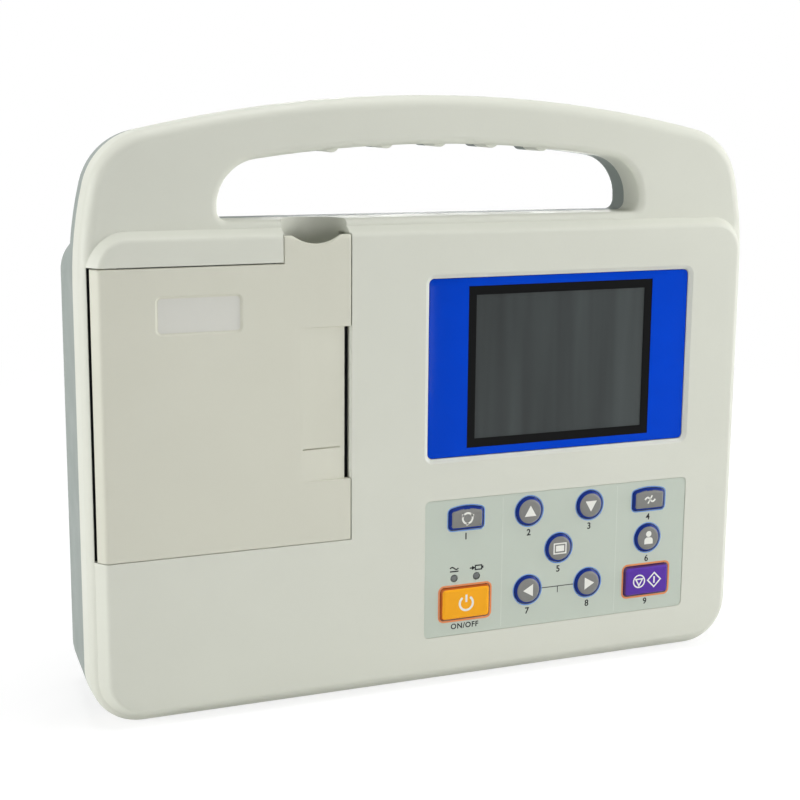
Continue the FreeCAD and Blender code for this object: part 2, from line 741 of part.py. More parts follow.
def front_cavity():
    # the hollow behind the panel, less the walls and posts that stay standing in it
    room = slab(outline(WALL, RIM_Y + WALL), PARTING_Y + PAST - RIM_Y - WALL)
    room = room.fuse(slab(panel_outline(-WALL, WALL), RIM_Y + PAST))
    stay = [slab(hole(WALL, 0), PARTING_Y + PAST)]
    for x, z in SHELL_SCREWS:
        stay.append(rod(x, 0, z, BOSS_R, PARTING_Y, Y_AXIS))
    for x, z in KEY_POSTS:
        stay.append(rod(x, 0, z, KEY_POST_R, KEY_BOARD_Y, Y_AXIS))
    for x, z in DISPLAY_POSTS:
        stay.append(rod(x, 0, z, DISPLAY_POST_R, BRACKET_Y, Y_AXIS))
    for x, z in TRAY_POSTS:
        stay.append(rod(x, 0, z, TRAY_POST_R, TRAY_Y, Y_AXIS))
    notch_z = TAB_TOP - NOTCH_FLOOR - NOTCH_WALL
    stay.append(rod(TAB_MID, NOTCH_Y, notch_z, NOTCH_R + NOTCH_WALL, HOLE_Z - notch_z, Z_AXIS))
    stay.append(slab(centred(DISPLAY_X, DISPLAY_Z, LENS_W, LENS_H, LENS_R, 0, LEDGE_MARGIN), LEDGE_Y))
    for z in (DOOR_TOP + DOOR_GAP, DOOR_Z - DOOR_GAP - LUG_L):
        half = PIN_R + LUG_T
        stay.append(box(HINGE_X - half, HINGE_X + half, 0, HINGE_Y + half, z, z + LUG_L))
    return room.cut(stay)


def small_screw_holes(places, y, grip):
    return [rod(x, y - grip, z, SMALL_SCREW_R + SCREW_PLAY, grip + PAST, Y_AXIS) for x, z in places]


def front_openings():
    cuts = [slab(door_outline(DOOR_GAP, DOOR_LEFT_GAP, -PAST), RIM_Y + WALL + 2 * PAST)]
    notch_z = TAB_TOP - NOTCH_FLOOR
    cuts.append(rod(TAB_MID, NOTCH_Y, notch_z, NOTCH_R, HOLE_Z + HOLE_EDGE_R - notch_z, Z_AXIS))
    lens = centred(DISPLAY_X, DISPLAY_Z, LENS_W, LENS_H, LENS_R, -PAST, LENS_PLAY)
    cuts.append(slab(lens, PAST + LENS_BACK))
    mouth = [centred(DISPLAY_X, DISPLAY_Z, LENS_W, LENS_H, LENS_R, y, grow)
             for y, grow in ((0, LENS_BEVEL), (LENS_SET, LENS_PLAY))]
    cuts.append(Part.makeLoft(mouth, True, True))
    cuts.append(slab(centred(DISPLAY_X, DISPLAY_Z, VIEW_W, VIEW_H, LENS_R, 0), LEDGE_Y + PAST))
    overlay = centred(KEYPAD_X, KEYPAD_Z, KEYPAD_W, KEYPAD_H, KEYPAD_R, -PAST, OVERLAY_PLAY)
    cuts.append(slab(overlay, PAST + OVERLAY_BACK))
    for name in KEYS:
        cuts.append(slab(key_outline(name, KEY_PLAY, 0), WALL + PAST))
    for x, z in LIGHTS:
        cuts.append(rod(x, 0, z, LIGHT_R + OVERLAY_PLAY, WALL + PAST, Y_AXIS))
    for x, z in SHELL_SCREWS:
        cuts.append(rod(x, PARTING_Y - SCREW_GRIP, z, SCREW_R, SCREW_GRIP + PAST, Y_AXIS))
    pin_z = DOOR_TOP + DOOR_GAP + LUG_L
    for z in (pin_z - PIN_L, DOOR_Z - DOOR_GAP - LUG_L):
        cuts.append(rod(HINGE_X, HINGE_Y, z, PIN_R + PIN_HOLD, PIN_L, Z_AXIS))
    cuts += small_screw_holes(KEY_POSTS, KEY_BOARD_Y, WALL)
    cuts += small_screw_holes(DISPLAY_POSTS, BRACKET_Y, WALL)
    cuts += small_screw_holes(MAIN_POSTS, MAIN_Y, SMALL_GRIP)
    cuts += small_screw_holes(TRAY_POSTS, TRAY_Y, SMALL_GRIP)
    return cuts


def slot_lip():
    # bevelled lip of the shell beside the paper slot
    low = PAPER_Z - SLOT_H / 2
    profile = Part.makePolygon([V(OPEN_RIGHT, 0, low), V(OPEN_RIGHT, WALL, low), V(LIP_X, WALL, low),
                                V(LIP_X, SLOT_LIP, low), V(OPEN_RIGHT, 0, low)])
    return Part.Face(profile).extrude(V(0, 0, SLOT_H))


def make_front_shell(block):
    shell = block.fuse(ridges(RIM_Y + HOLE_EDGE_R, PARTING_Y)).cut(front_cavity())
    root = WALL - SHELL_GAP
    posts = [rod(x, root, z, MAIN_POST_R, MAIN_Y - root, Y_AXIS) for x, z in MAIN_POSTS]
    shell = shell.fuse(posts).cut(front_openings())
    return joined(shell, [slot_lip()])


# Rear shell

def rear_outline(inset, y, taper):
    half = HALF_W - inset - taper
    top = REAR_TOP - inset - taper
    low_r = LOWER_R - inset
    return rounded([(-half, inset, low_r), (half, inset, low_r),
                    (half, top, REAR_UPPER_R - inset), (-half, top, REAR_UPPER_R - inset)], y)


def rear_taper(y):
    return (y - PARTING_Y) * math.tan(math.radians(DRAFT_DEG))


def rear_loft(inset, y1):
    ends = [rear_outline(inset, y, rear_taper(y)) for y in (PARTING_Y, y1)]
    return Part.makeLoft(ends, True, True)


def rear_block():
    plate = Part.makeLoft([outline(0, PARTING_Y), outline(rear_taper(HANDLE_Y), HANDLE_Y)], True, True)
    plate = plate.cut(slab(hole(0, PARTING_Y - PAST), HANDLE_BACK + 2 * PAST))
    upper = flat_edges(plate, HANDLE_Y, HOLE_Z - SLACK)
    plate = plate.makeFillet(HANDLE_BACK_R, upper)
    deep = rear_loft(0, BODY_D)
    deep = deep.makeFillet(REAR_EDGE_R, flat_edges(deep, BODY_D))
    return plate.fuse(deep)


def bay_box(grow, y0, y1):
    half_w = BATTERY_W / 2 + BATTERY_PLAY + grow
    half_h = BATTERY_H / 2 + BATTERY_PLAY + grow
    return box(BATTERY_X - half_w, BATTERY_X + half_w, y0, y1, BATTERY_Z - half_h, BATTERY_Z + half_h)


def cover_outline(grow, y):
    half_w = BATTERY_W / 2 + BATTERY_PLAY + COVER_SIDE + grow
    half_h = BATTERY_H / 2 + BATTERY_PLAY + COVER_EDGE + grow
    return rect(BATTERY_X - half_w, BATTERY_X + half_w, BATTERY_Z - half_h, BATTERY_Z + half_h, COVER_R, y)


def port_box(grow, x0, x1):
    half = PORT_WIDE / 2 + grow
    return box(x0, x1, PORT_Y - half, PORT_Y + half, PORT_LOW - grow, PORT_HIGH + grow)


def rear_cavity():
    room = slab(outline(WALL, PARTING_Y - PAST), HANDLE_BACK - WALL + PAST)
    room = room.fuse(rear_loft(WALL, BACK_Y))
    stay = [slab(hole(WALL, PARTING_Y - PAST), HANDLE_BACK + PAST)]
    for x, z in SHELL_SCREWS:
        stay.append(rod(x, PARTING_Y, z, BOSS_R, BODY_D - PARTING_Y, Y_AXIS))
    for x, z in POWER_POSTS:
        stay.append(rod(x, POWER_Y + BOARD_T, z, POWER_POST_R, POWER_POST_L + WALL, Y_AXIS))
    for x, z in COVER_SCREWS:
        stay.append(rod(x, BACK_Y - COVER_BOSS_L, z, COVER_BOSS_R, COVER_BOSS_L + WALL, Y_AXIS))
    stay.append(bay_box(BAY_WALL, BAY_Y - BAY_WALL, BODY_D))
    stay.append(port_box(PORT_MARGIN, PORT_X - WALL, HALF_W))
    stay.append(rod(EARTH_X - WALL, PORT_Y, EARTH_Z, EARTH_WELL_R + WALL, EARTH_WELL_D + WALL, X_AXIS))
    stay.append(rod(SPEAKER_X, BACK_Y - SPEAKER_T, SPEAKER_Z, SPEAKER_R + SPEAKER_PLAY + SPEAKER_RING,
                    SPEAKER_T + WALL, Y_AXIS))
    return room.cut(stay)


def grille_holes():
    holes = [rod(SPEAKER_X, BACK_Y - PAST, SPEAKER_Z, GRILLE_R, WALL + 2 * PAST, Y_AXIS)]
    for ring in range(1, GRILLE_RING_COUNT + 1):
        count = GRILLE_FIRST_COUNT * ring
        for i in range(count):
            angle = 2 * math.pi * i / count
            x = SPEAKER_X + ring * GRILLE_STEP * math.cos(angle)
            z = SPEAKER_Z + ring * GRILLE_STEP * math.sin(angle)
            holes.append(rod(x, BACK_Y - PAST, z, GRILLE_R, WALL + 2 * PAST, Y_AXIS))
    return holes


def port_window(width, height, z):
    half_w, half_h = width / 2 + INLET_PLAY, height / 2 + INLET_PLAY
    return box(PORT_X - WALL - PAST, HALF_W, PORT_Y - half_w, PORT_Y + half_w, z - half_h, z + half_h)


def port_cuts():
    through = WALL + 2 * PAST
    cuts = [port_box(0, PORT_X, HALF_W + PAST)]
    cuts.append(port_window(INLET_W, INLET_H, INLET_Z))
    cuts.append(port_window(LEAD_SHELL_W, LEAD_SHELL_H, LEAD_Z))
    cuts.append(rod(EARTH_X, PORT_Y, EARTH_Z, EARTH_WELL_R, EARTH_WELL_D + PORT_SINK, X_AXIS))
    cuts.append(rod(EARTH_X - WALL - PAST, PORT_Y, EARTH_Z, EARTH_PIN_R + SCREW_PLAY, through, X_AXIS))
    for z in (LEAD_Z - JACK_HALF, LEAD_Z + JACK_HALF):
        cuts.append(rod(PORT_X - WALL - PAST, PORT_Y, z, JACK_SHANK_R + SCREW_PLAY, through, X_AXIS))
    return cuts


def make_rear_shell():
    shell = rear_block().fuse(ridges(PARTING_Y, HANDLE_Y - HANDLE_BACK_R)).cut(rear_cavity())
    cuts = [bay_box(0, BAY_Y, BODY_D + PAST)]
    cuts.append(slab(cover_outline(COVER_PLAY, BODY_D - COVER_T), COVER_T + PAST))
    for x, z in SHELL_SCREWS:
        cuts.append(rod(x, PARTING_Y - PAST, z, SCREW_R + SCREW_PLAY, BODY_D, Y_AXIS))
        cuts.append(rod(x, SCREW_SEAT_Y, z, SCREW_HEAD_R + HEAD_PLAY, BODY_D, Y_AXIS))
    cuts += small_screw_holes(COVER_SCREWS, BODY_D, SMALL_GRIP)
    for x, z in POWER_POSTS:
        cuts.append(rod(x, POWER_Y, z, SMALL_SCREW_R + SCREW_PLAY, POWER_POST_L + BOARD_T, Y_AXIS))
    for x, z in FEET:
        cuts.append(rod(x, BODY_D - FOOT_SINK, z, FOOT_R + FOOT_PLAY, FOOT_SINK + PAST, Y_AXIS))
    cuts.append(rod(SPEAKER_X, BACK_Y - SPEAKER_T - PAST, SPEAKER_Z, SPEAKER_R + SPEAKER_PLAY,
                    SPEAKER_T + PAST, Y_AXIS))
    cuts += grille_holes()
    cuts += port_cuts()
    return shell.cut(cuts).removeSplitter()


# Fasteners and feet

def head_screw(x, y, z, length):
    # pan head behind y, shank running forward from y
    shank = rod(x, y - length, z, SMALL_SCREW_R, length, Y_AXIS)
    return shank.fuse(rod(x, y, z, SMALL_HEAD_R, SMALL_HEAD_T, Y_AXIS))


def make_shell_screws():
    screws = []
    for x, z in SHELL_SCREWS:
        length = SCREW_SEAT_Y - PARTING_Y + SCREW_GRIP - PAST / 2
        shank = rod(x, SCREW_SEAT_Y - length, z, SCREW_R - SCREW_PLAY, length, Y_AXIS)
        head = rod(x, SCREW_SEAT_Y, z, SCREW_HEAD_R, SCREW_HEAD_T, Y_AXIS)
        end_y = SCREW_SEAT_Y + SCREW_HEAD_T
        cross = [box(x - width / 2, x + width / 2, end_y - CROSS_D, end_y, z - height / 2, z + height / 2)
                 for width, height in ((CROSS_L, CROSS_W), (CROSS_W, CROSS_L))]
        screws.append(shank.fuse(head).cut(cross))
    return compound(screws)


def make_inner_screws():
    screws = [head_screw(x, KEY_BOARD_Y + BOARD_T, z, BOARD_T + WALL / 2) for x, z in KEY_POSTS]
    screws += [head_screw(x, BRACKET_Y + BRACKET_T, z, BRACKET_T + WALL / 2) for x, z in DISPLAY_POSTS]
    bite = SMALL_GRIP - SMALL_SCREW_R
    screws += [head_screw(x, MAIN_Y + BOARD_T, z, BOARD_T + bite) for x, z in MAIN_POSTS]
    screws += [head_screw(x, TRAY_Y + TRAY_T, z, TRAY_T + bite) for x, z in TRAY_POSTS]
    screws += [head_screw(x, CHASSIS_Y + CHASSIS_T, z, CHASSIS_T + TRAY_T) for x, z in CHASSIS_SCREWS]
    return compound(screws)


def forward_screw(x, y, z, length):
    # pan head in front of y, shank running back from y
    shank = rod(x, y, z, SMALL_SCREW_R, length, Y_AXIS)
    return shank.fuse(rod(x, y - SMALL_HEAD_T, z, SMALL_HEAD_R, SMALL_HEAD_T, Y_AXIS))


def make_power_screws():
    return compound([forward_screw(x, POWER_Y, z, BOARD_T + POWER_POST_L / 2) for x, z in POWER_POSTS])


def make_cover_screws():
    seat = BODY_D - COVER_HEAD_SINK
    return compound([head_screw(x, seat, z, SMALL_GRIP - SMALL_HEAD_T) for x, z in COVER_SCREWS])


def make_rubber_feet():
    feet = []
    for x, z in FEET:
        foot = rod(x, BODY_D - FOOT_SINK, z, FOOT_R, FOOT_SINK + FOOT_RISE, Y_AXIS)
        feet.append(foot.makeFillet(FOOT_SINK, flat_edges(foot, FULL_BACK_Y)))
    return compound(feet)


# Paper door, hinge and platen

def make_paper_door(block):
    blank = block.common(slab(door_outline(0, 0, -PAST), RIM_Y + PAST))
    inner_x = PANEL_INSET + DOOR_T - HALF_W
    door = blank.cut(box(inner_x, 0, DOOR_T, RIM_Y + PAST, DOOR_Z - PAST, TAB_TOP + PAST))
    scallop_r = (SCALLOP_W ** 2 / 4 + SCALLOP_DROP ** 2) / (2 * SCALLOP_DROP)
    cuts = [rod(TAB_MID, -PAST, TAB_TOP - SCALLOP_DROP + scallop_r, scallop_r, DOOR_T + 2 * PAST, Y_AXIS)]
    badge = [centred(BADGE_X + BADGE_W / 2, BADGE_Z + BADGE_H / 2, BADGE_W, BADGE_H, BADGE_R, y, grow)
             for y, grow in ((0, BADGE_BEVEL), (BADGE_DEPTH, 0))]
    cuts.append(Part.makeLoft(badge, True, True))
    low, high = PAPER_Z - SLOT_H / 2, PAPER_Z + SLOT_H / 2
    cuts.append(box(SLOT_X, DOOR_RIGHT + PAST, -PAST, DOOR_T + PAST, low, high))
    funnel = Part.makePolygon([V(SLOT_X - SLOT_FUNNEL, 0, low), V(SLOT_X, SLOT_SINK, low),
                               V(SLOT_X, -PAST, low), V(SLOT_X - SLOT_FUNNEL, -PAST, low),
                               V(SLOT_X - SLOT_FUNNEL, 0, low)])
    cuts.append(Part.Face(funnel).extrude(V(0, 0, SLOT_H)))
    mark_z = PAPER_Z - MARK_DROP
    mark_x = SLOT_X - PAST - MARK_W
    cuts.append(box(mark_x, mark_x + MARK_W, -PAST, SLOT_SINK + MARK_T, mark_z, mark_z + MARK_T))
    door = door.cut(cuts)
    return joined(door, door_fittings()).cut(door_bores()).removeSplitter()


def door_fittings():
    parts = []
    for z in (DOOR_TOP - KNUCKLE_L, DOOR_Z):
        parts.append(rod(HINGE_X, HINGE_Y, z, KNUCKLE_R, KNUCKLE_L, Z_AXIS))
    rib_x0 = HINGE_X + KNUCKLE_R + RIB_INSET
    rib_x1 = PLATEN_X - ARM_HALF
    for z in (DOOR_Z + RIB_INSET, DOOR_TOP - RIB_INSET - RIB_T):
        parts.append(box(rib_x0, rib_x1, DOOR_T - SHELL_GAP, DOOR_T + RIB_H, z, z + RIB_T))
    for z in (PAPER_Z - ARM_Z - ARM_T, PAPER_Z + ARM_Z):
        parts.append(box(PLATEN_X - ARM_HALF, PLATEN_X + ARM_HALF, DOOR_T - SHELL_GAP,
                         PLATEN_Y + BUSH_R + ARM_END, z, z + ARM_T))
    return parts


def door_bores():
    bores = []
    pin_z = DOOR_TOP + DOOR_GAP + LUG_L - PIN_L
    for z in (pin_z - PAST / 4, DOOR_Z - DOOR_GAP - LUG_L + PAST / 4):
        bores.append(rod(HINGE_X, HINGE_Y, z, PIN_R + PIN_PLAY, PIN_L, Z_AXIS))
    bores.append(rod(PLATEN_X, PLATEN_Y, PAPER_Z - ARM_Z - ARM_T - PAST, BUSH_R + PIN_HOLD,
                     2 * (ARM_Z + ARM_T + PAST), Z_AXIS))
    return bores


def make_hinge_pins():
    pin_z = DOOR_TOP + DOOR_GAP + LUG_L - PIN_L
    return compound([rod(HINGE_X, HINGE_Y, z, PIN_R, PIN_L, Z_AXIS)
                     for z in (pin_z, DOOR_Z - DOOR_GAP - LUG_L)])


def make_platen_bushes():
    bushes = []
    for side in (-1, 1):
        z = PAPER_Z + side * ARM_Z
        sleeve = rod(PLATEN_X, PLATEN_Y, z, BUSH_R, ARM_T, Z_AXIS * side)
        flange = rod(PLATEN_X, PLATEN_Y, z, BUSH_FLANGE_R, BUSH_FLANGE_T, Z_AXIS * -side)
        bore = rod(PLATEN_X, PLATEN_Y, PAPER_Z - BODY_H, PLATEN_SHAFT_R + SHAFT_PLAY, 2 * BODY_H, Z_AXIS)
        bushes.append(sleeve.fuse(flange).cut(bore))
    return compound(bushes)


def make_platen_shaft():
    low = PAPER_Z - ARM_Z - ARM_T
    return rod(PLATEN_X, PLATEN_Y, low, PLATEN_SHAFT_R, GEAR_Z + GEAR_T - low, Z_AXIS)


def make_platen_roller():
    low = PAPER_Z - PLATEN_L / 2
    sleeve = rod(PLATEN_X, PLATEN_Y, low, PLATEN_R, PLATEN_L, Z_AXIS)
    return sleeve.cut(rod(PLATEN_X, PLATEN_Y, low - PAST, PLATEN_SHAFT_R, PLATEN_L + 2 * PAST, Z_AXIS))


def gear(x, y, teeth, bore_r, first_angle):
    # straight-flanked spur gear with one tooth pointing at first_angle
    pitch_r = GEAR_MODULE * teeth / 2
    half_pitch = math.pi / teeth
    root_r = pitch_r - DEDENDUM * GEAR_MODULE
    tip_r = pitch_r + ADDENDUM * GEAR_MODULE
    rings = [(root_r, -ROOT_SHARE), (tip_r, -TIP_SHARE), (tip_r, TIP_SHARE), (root_r, ROOT_SHARE)]
    points = []
    for tooth in range(teeth):
        middle = first_angle + 2 * half_pitch * tooth
        for radius, share in rings:
            angle = middle + share * half_pitch
            points.append(V(x + radius * math.cos(angle), y + radius * math.sin(angle), GEAR_Z))
    points.append(points[0])
    body = Part.Face(Part.makePolygon(points)).extrude(V(0, 0, GEAR_T))
    return body.cut(rod(x, y, GEAR_Z - PAST, bore_r, GEAR_T + 2 * PAST, Z_AXIS))


def make_platen_gear():
    return gear(PLATEN_X, PLATEN_Y, PLATEN_TEETH, PLATEN_SHAFT_R, math.pi / 2)


def make_idler_gear():
    half_pitch = math.pi / IDLER_TEETH
    return gear(PLATEN_X, IDLER_Y, IDLER_TEETH, STUD_R + SHAFT_PLAY, half_pitch - math.pi / 2)


def make_motor_pinion():
    facing = math.pi * (IDLER_TEETH % 2) / PINION_TEETH
    return gear(PLATEN_X, PINION_Y, PINION_TEETH, MOTOR_SHAFT_R, facing - math.pi / 2)


# Printer

def make_print_head():
    x = PLATEN_X - HEAD_SHIFT
    return box(x - HEAD_W / 2, x + HEAD_W / 2, HEAD_Y, HEAD_Y + HEAD_T,
               PAPER_Z - HEAD_L / 2, PAPER_Z + HEAD_L / 2)


def make_head_sink():
    x = PLATEN_X - HEAD_SHIFT
    return box(x - SINK_W / 2, x + SINK_W / 2, HEAD_Y + HEAD_T, CHASSIS_Y,
               PAPER_Z - SINK_L / 2, PAPER_Z + SINK_L / 2)


def make_printer_chassis():
    plate = box(PLATEN_X - CHASSIS_LEFT, PLATEN_X + CHASSIS_RIGHT, CHASSIS_Y, CHASSIS_Y + CHASSIS_T,
                PAPER_Z - CHASSIS_BELOW, FLANGE_Z + CHASSIS_T)
    flange = box(PLATEN_X - FLANGE_W / 2, PLATEN_X + FLANGE_W / 2, CHASSIS_Y, CHASSIS_Y + FLANGE_L,
                 FLANGE_Z, FLANGE_Z + CHASSIS_T)
    cuts = [rod(PLATEN_X, PINION_Y, FLANGE_Z - PAST, MOTOR_BOSS_R + SCREW_PLAY, CHASSIS_T + 2 * PAST, Z_AXIS),
            rod(PLATEN_X, IDLER_Y, FLANGE_Z - PAST, STUD_R, CHASSIS_T + 2 * PAST, Z_AXIS)]
    for x, z in CHASSIS_SCREWS:
        cuts.append(rod(x, CHASSIS_Y - PAST, z, SMALL_SCREW_R + SCREW_PLAY, CHASSIS_T + 2 * PAST, Y_AXIS))
    return joined(plate, [flange]).cut(cuts)


def make_idler_stud():
    stud = rod(PLATEN_X, IDLER_Y, FLANGE_Z, STUD_R, GEAR_Z + GEAR_T + GEAR_LIFT - FLANGE_Z, Z_AXIS)
    cap = rod(PLATEN_X, IDLER_Y, GEAR_Z + GEAR_T + GEAR_LIFT / 2, STUD_HEAD_R, STUD_HEAD_T, Z_AXIS)
    return stud.fuse(cap)


def make_feed_motor():
    can = rod(PLATEN_X, PINION_Y, FLANGE_Z - MOTOR_L, MOTOR_R, MOTOR_L, Z_AXIS)
    can = can.makeChamfer(MOTOR_EDGE, [e for e in can.Edges if e.Curve.TypeId == "Part::GeomCircle"])
    root = FLANGE_Z - SHELL_GAP
    return can.fuse(rod(PLATEN_X, PINION_Y, root, MOTOR_BOSS_R, CHASSIS_T + SHELL_GAP, Z_AXIS))


def make_motor_shaft():
    low = FLANGE_Z + CHASSIS_T
    return rod(PLATEN_X, PINION_Y, low, MOTOR_SHAFT_R, GEAR_Z + GEAR_T - low, Z_AXIS)


def make_paper_tray():
    left, right = DOOR_X + DOOR_LEFT_GAP / 2, DOOR_RIGHT + TRAY_WALL_SET + TRAY_T
    low, high = DOOR_Z - TRAY_EAR, DOOR_TOP + TRAY_EAR
    floor = box(left, right, TRAY_Y, TRAY_Y + TRAY_T, low, high)
    wall_x, wall_r = HINGE_X - HINGE_INSET + TRAY_HINGE_ROOM, DOOR_RIGHT + TRAY_WALL_SET / 2
    wall_low, wall_high = DOOR_Z + TRAY_MARGIN, DOOR_TOP - TRAY_MARGIN
    front = WALL + SHELL_GAP
    parts = [box(wall_x, right, front, TRAY_Y, wall_low, wall_low + TRAY_T),
             box(wall_x, right, front, TRAY_Y, wall_high - TRAY_T, wall_high),
             box(wall_r, right, front, TRAY_Y, wall_low, wall_high)]
    z0, length = PAPER_Z - TUB_HALF, 2 * TUB_HALF
    outer_r = TUB_R + TUB_T
    tub = rod(ROLL_X, ROLL_Y, z0 - TUB_T, outer_r, length + 2 * TUB_T, Z_AXIS)
    tub = tub.fuse(box(ROLL_X - outer_r, ROLL_X + outer_r, TRAY_Y, ROLL_Y, z0 - TUB_T, z0 + length + TUB_T))
    tub = tub.cut(box(ROLL_X - 2 * outer_r, ROLL_X + 2 * outer_r, 0, TRAY_Y, 0, BODY_H))
    tray = joined(floor, parts + [tub])
    cuts = [rod(ROLL_X, ROLL_Y, z0, TUB_R, length, Z_AXIS),
            box(ROLL_X - TUB_R, ROLL_X + TUB_R, TRAY_Y - PAST, ROLL_Y, z0, z0 + length)]
    notch_r = JOURNAL_R + JOURNAL_PLAY
    cuts.append(rod(ROLL_X, ROLL_Y, z0 - TUB_T, notch_r, length + 2 * TUB_T, Z_AXIS))
    cuts.append(box(ROLL_X - notch_r, ROLL_X + notch_r, TRAY_Y - PAST, ROLL_Y,
                    z0 - TUB_T, z0 + length + TUB_T))
    window_x = PLATEN_X - HEAD_SHIFT - SINK_W / 2 - HEAD_ROOM
    cuts.append(box(window_x, wall_r, TRAY_Y - PAST, TRAY_Y + TRAY_T,
                    PAPER_Z - SINK_L / 2 - HEAD_ROOM, GEAR_Z + GEAR_T + HEAD_ROOM))
    for x, z in TRAY_POSTS + CHASSIS_SCREWS:
        cuts.append(rod(x, TRAY_Y - PAST, z, SMALL_SCREW_R + SCREW_PLAY, TRAY_T + 2 * PAST, Y_AXIS))
    return tray.cut(cuts).removeSplitter()


def tube(x, y, z, outer_r, inner_r, length):
    solid = rod(x, y, z, outer_r, length, Z_AXIS)
    return solid.cut(rod(x, y, z - PAST, inner_r, length + 2 * PAST, Z_AXIS))


def make_paper_roll():
    return tube(ROLL_X, ROLL_Y, PAPER_Z - PAPER_W / 2, PAPER_R, CORE_R, PAPER_W)


def make_roll_core():
    return tube(ROLL_X, ROLL_Y, PAPER_Z - PAPER_W / 2, CORE_R, CORE_BORE_R, PAPER_W)


def make_paper_spindle():
    body = rod(ROLL_X, ROLL_Y, PAPER_Z - SPINDLE_HALF, SPINDLE_R, 2 * SPINDLE_HALF, Z_AXIS)
    half = SPINDLE_HALF + JOURNAL_L
    return body.fuse(rod(ROLL_X, ROLL_Y, PAPER_Z - half, JOURNAL_R, 2 * half, Z_AXIS))


# Display

def make_display_window():
    return slab(centred(DISPLAY_X, DISPLAY_Z, LENS_W, LENS_H, LENS_R, LENS_SET), LENS_T)


def make_lcd_panel():
    return slab(centred(DISPLAY_X, DISPLAY_Z, LCD_W, LCD_H, LENS_R / 2, LCD_Y), LCD_T)


def make_display_bracket():
    plate = slab(centred(DISPLAY_X, DISPLAY_Z, LCD_W, LCD_H, LENS_R, BRACKET_Y, BRACKET_MARGIN), BRACKET_T)
    window = slab(centred(DISPLAY_X, DISPLAY_Z, BRACKET_OPEN_W, BRACKET_OPEN_H, LENS_R, BRACKET_Y - PAST),
                  BRACKET_T + 2 * PAST)
    return plate.cut([window] + small_screw_holes(DISPLAY_POSTS, BRACKET_Y + BRACKET_T, BRACKET_T))


def make_display_ribbon():
    z = DISPLAY_Z - RIBBON_DROP
    front = LCD_Y + LCD_T
    return box(DISPLAY_X - RIBBON_W / 2, DISPLAY_X + RIBBON_W / 2, front, MAIN_Y, z, z + RIBBON_T)


# Keypad

def make_keypad_overlay():
    sheet = slab(centred(KEYPAD_X, KEYPAD_Z, KEYPAD_W, KEYPAD_H, KEYPAD_R, OVERLAY_SET), OVERLAY_T)
    cuts = [slab(key_outline(name, KEY_PLAY, 0), OVERLAY_BACK + PAST) for name in KEYS]
    cuts += [rod(x, 0, z, LIGHT_R + OVERLAY_PLAY, OVERLAY_BACK + PAST, Y_AXIS) for x, z in LIGHTS]
    return sheet.cut(cuts)


def make_key(name):
    slope = BIG_KEY_SLOPE if KEYS[name][0] in ("big", "run") else KEY_SLOPE
    cap = Part.makeLoft([key_outline(name, -slope, OVERLAY_SET - KEY_RISE),
                         key_outline(name, 0, OVERLAY_SET)], True, True)
    stem = slab(key_outline(name, 0, OVERLAY_SET), KEY_FLANGE_Y + KEY_FLANGE_T - OVERLAY_SET)
    foot = slab(key_outline(name, KEY_FLANGE, KEY_FLANGE_Y), KEY_FLANGE_T)
    return joined(cap, [stem, foot])


def make_key_mat():
    x0, x1, z0, z1 = KEY_BOARD
    sheet = slab(rect(x0 + MAT_INSET, x1 - MAT_INSET, z0 + MAT_INSET, z1 - MAT_INSET, KEYPAD_R, MAT_Y), MAT_T)
    cuts = [rod(x, MAT_Y - PAST, z, KEY_POST_R + KEY_PLAY, MAT_T + 2 * PAST, Y_AXIS) for x, z in KEY_POSTS]
    cuts += [rod(x, MAT_Y - PAST, z, LIGHT_R + KEY_PLAY, MAT_T + 2 * PAST, Y_AXIS) for x, z in LIGHTS]
    return sheet.cut(cuts)


def make_key_board():
    x0, x1, z0, z1 = KEY_BOARD
    board = box(x0, x1, KEY_BOARD_Y, KEY_BOARD_Y + BOARD_T, z0, z1)
    return board.cut(small_screw_holes(KEY_POSTS, KEY_BOARD_Y + BOARD_T, BOARD_T))


def make_indicator_lights():
    lights = []
    for x, z in LIGHTS:
        pipe = rod(x, OVERLAY_SET, z, LIGHT_R, KEY_BOARD_Y - OVERLAY_SET, Y_AXIS)
        collar_y = WALL + KEY_SEAT
        lights.append(pipe.fuse(rod(x, collar_y, z, LIGHT_COLLAR_R, MAT_Y - collar_y - KEY_SPARE, Y_AXIS)))
    return compound(lights)


# Electronics

def make_main_board():
    board = box(MAIN_X, MAIN_X + MAIN_W, MAIN_Y, MAIN_Y + BOARD_T, MAIN_Z, MAIN_Z + MAIN_H)
    return board.cut(small_screw_holes(MAIN_POSTS, MAIN_Y + BOARD_T, BOARD_T))


def make_main_parts():
    back = MAIN_Y + BOARD_T
    middle_x, middle_z = MAIN_X + MAIN_W / 2, MAIN_Z + MAIN_H / 2
    parts = []
    for step in (-2, -1, 1, 2):
        x = middle_x + step * CHIP_PITCH
        parts.append(box(x - CHIP_W / 2, x + CHIP_W / 2, back, back + CHIP_T, middle_z, middle_z + CHIP_W))
    for x in (MAIN_X + PLUG_IN, MAIN_X + MAIN_W - PLUG_IN):
        z = MAIN_Z + MAIN_H - PLUG_DROP
        parts.append(box(x - PLUG_W / 2, x + PLUG_W / 2, back, back + PLUG_H, z, z + PLUG_H))
    for step in range(1, CAN_COUNT + 1):
        parts.append(rod(MAIN_X + step * CAN_PITCH, back, MAIN_Z + CAN_RISE, CAN_R, CAN_L, Y_AXIS))
    return compound(parts)


def make_board_header():
    z = KEYPAD_Z - KEY_BOARD_HALF_H + HEADER_LOW
    return box(KEYPAD_X - HEADER_W / 2, KEYPAD_X + HEADER_W / 2, KEY_BOARD_Y + BOARD_T, MAIN_Y,
               z, z + HEADER_T)


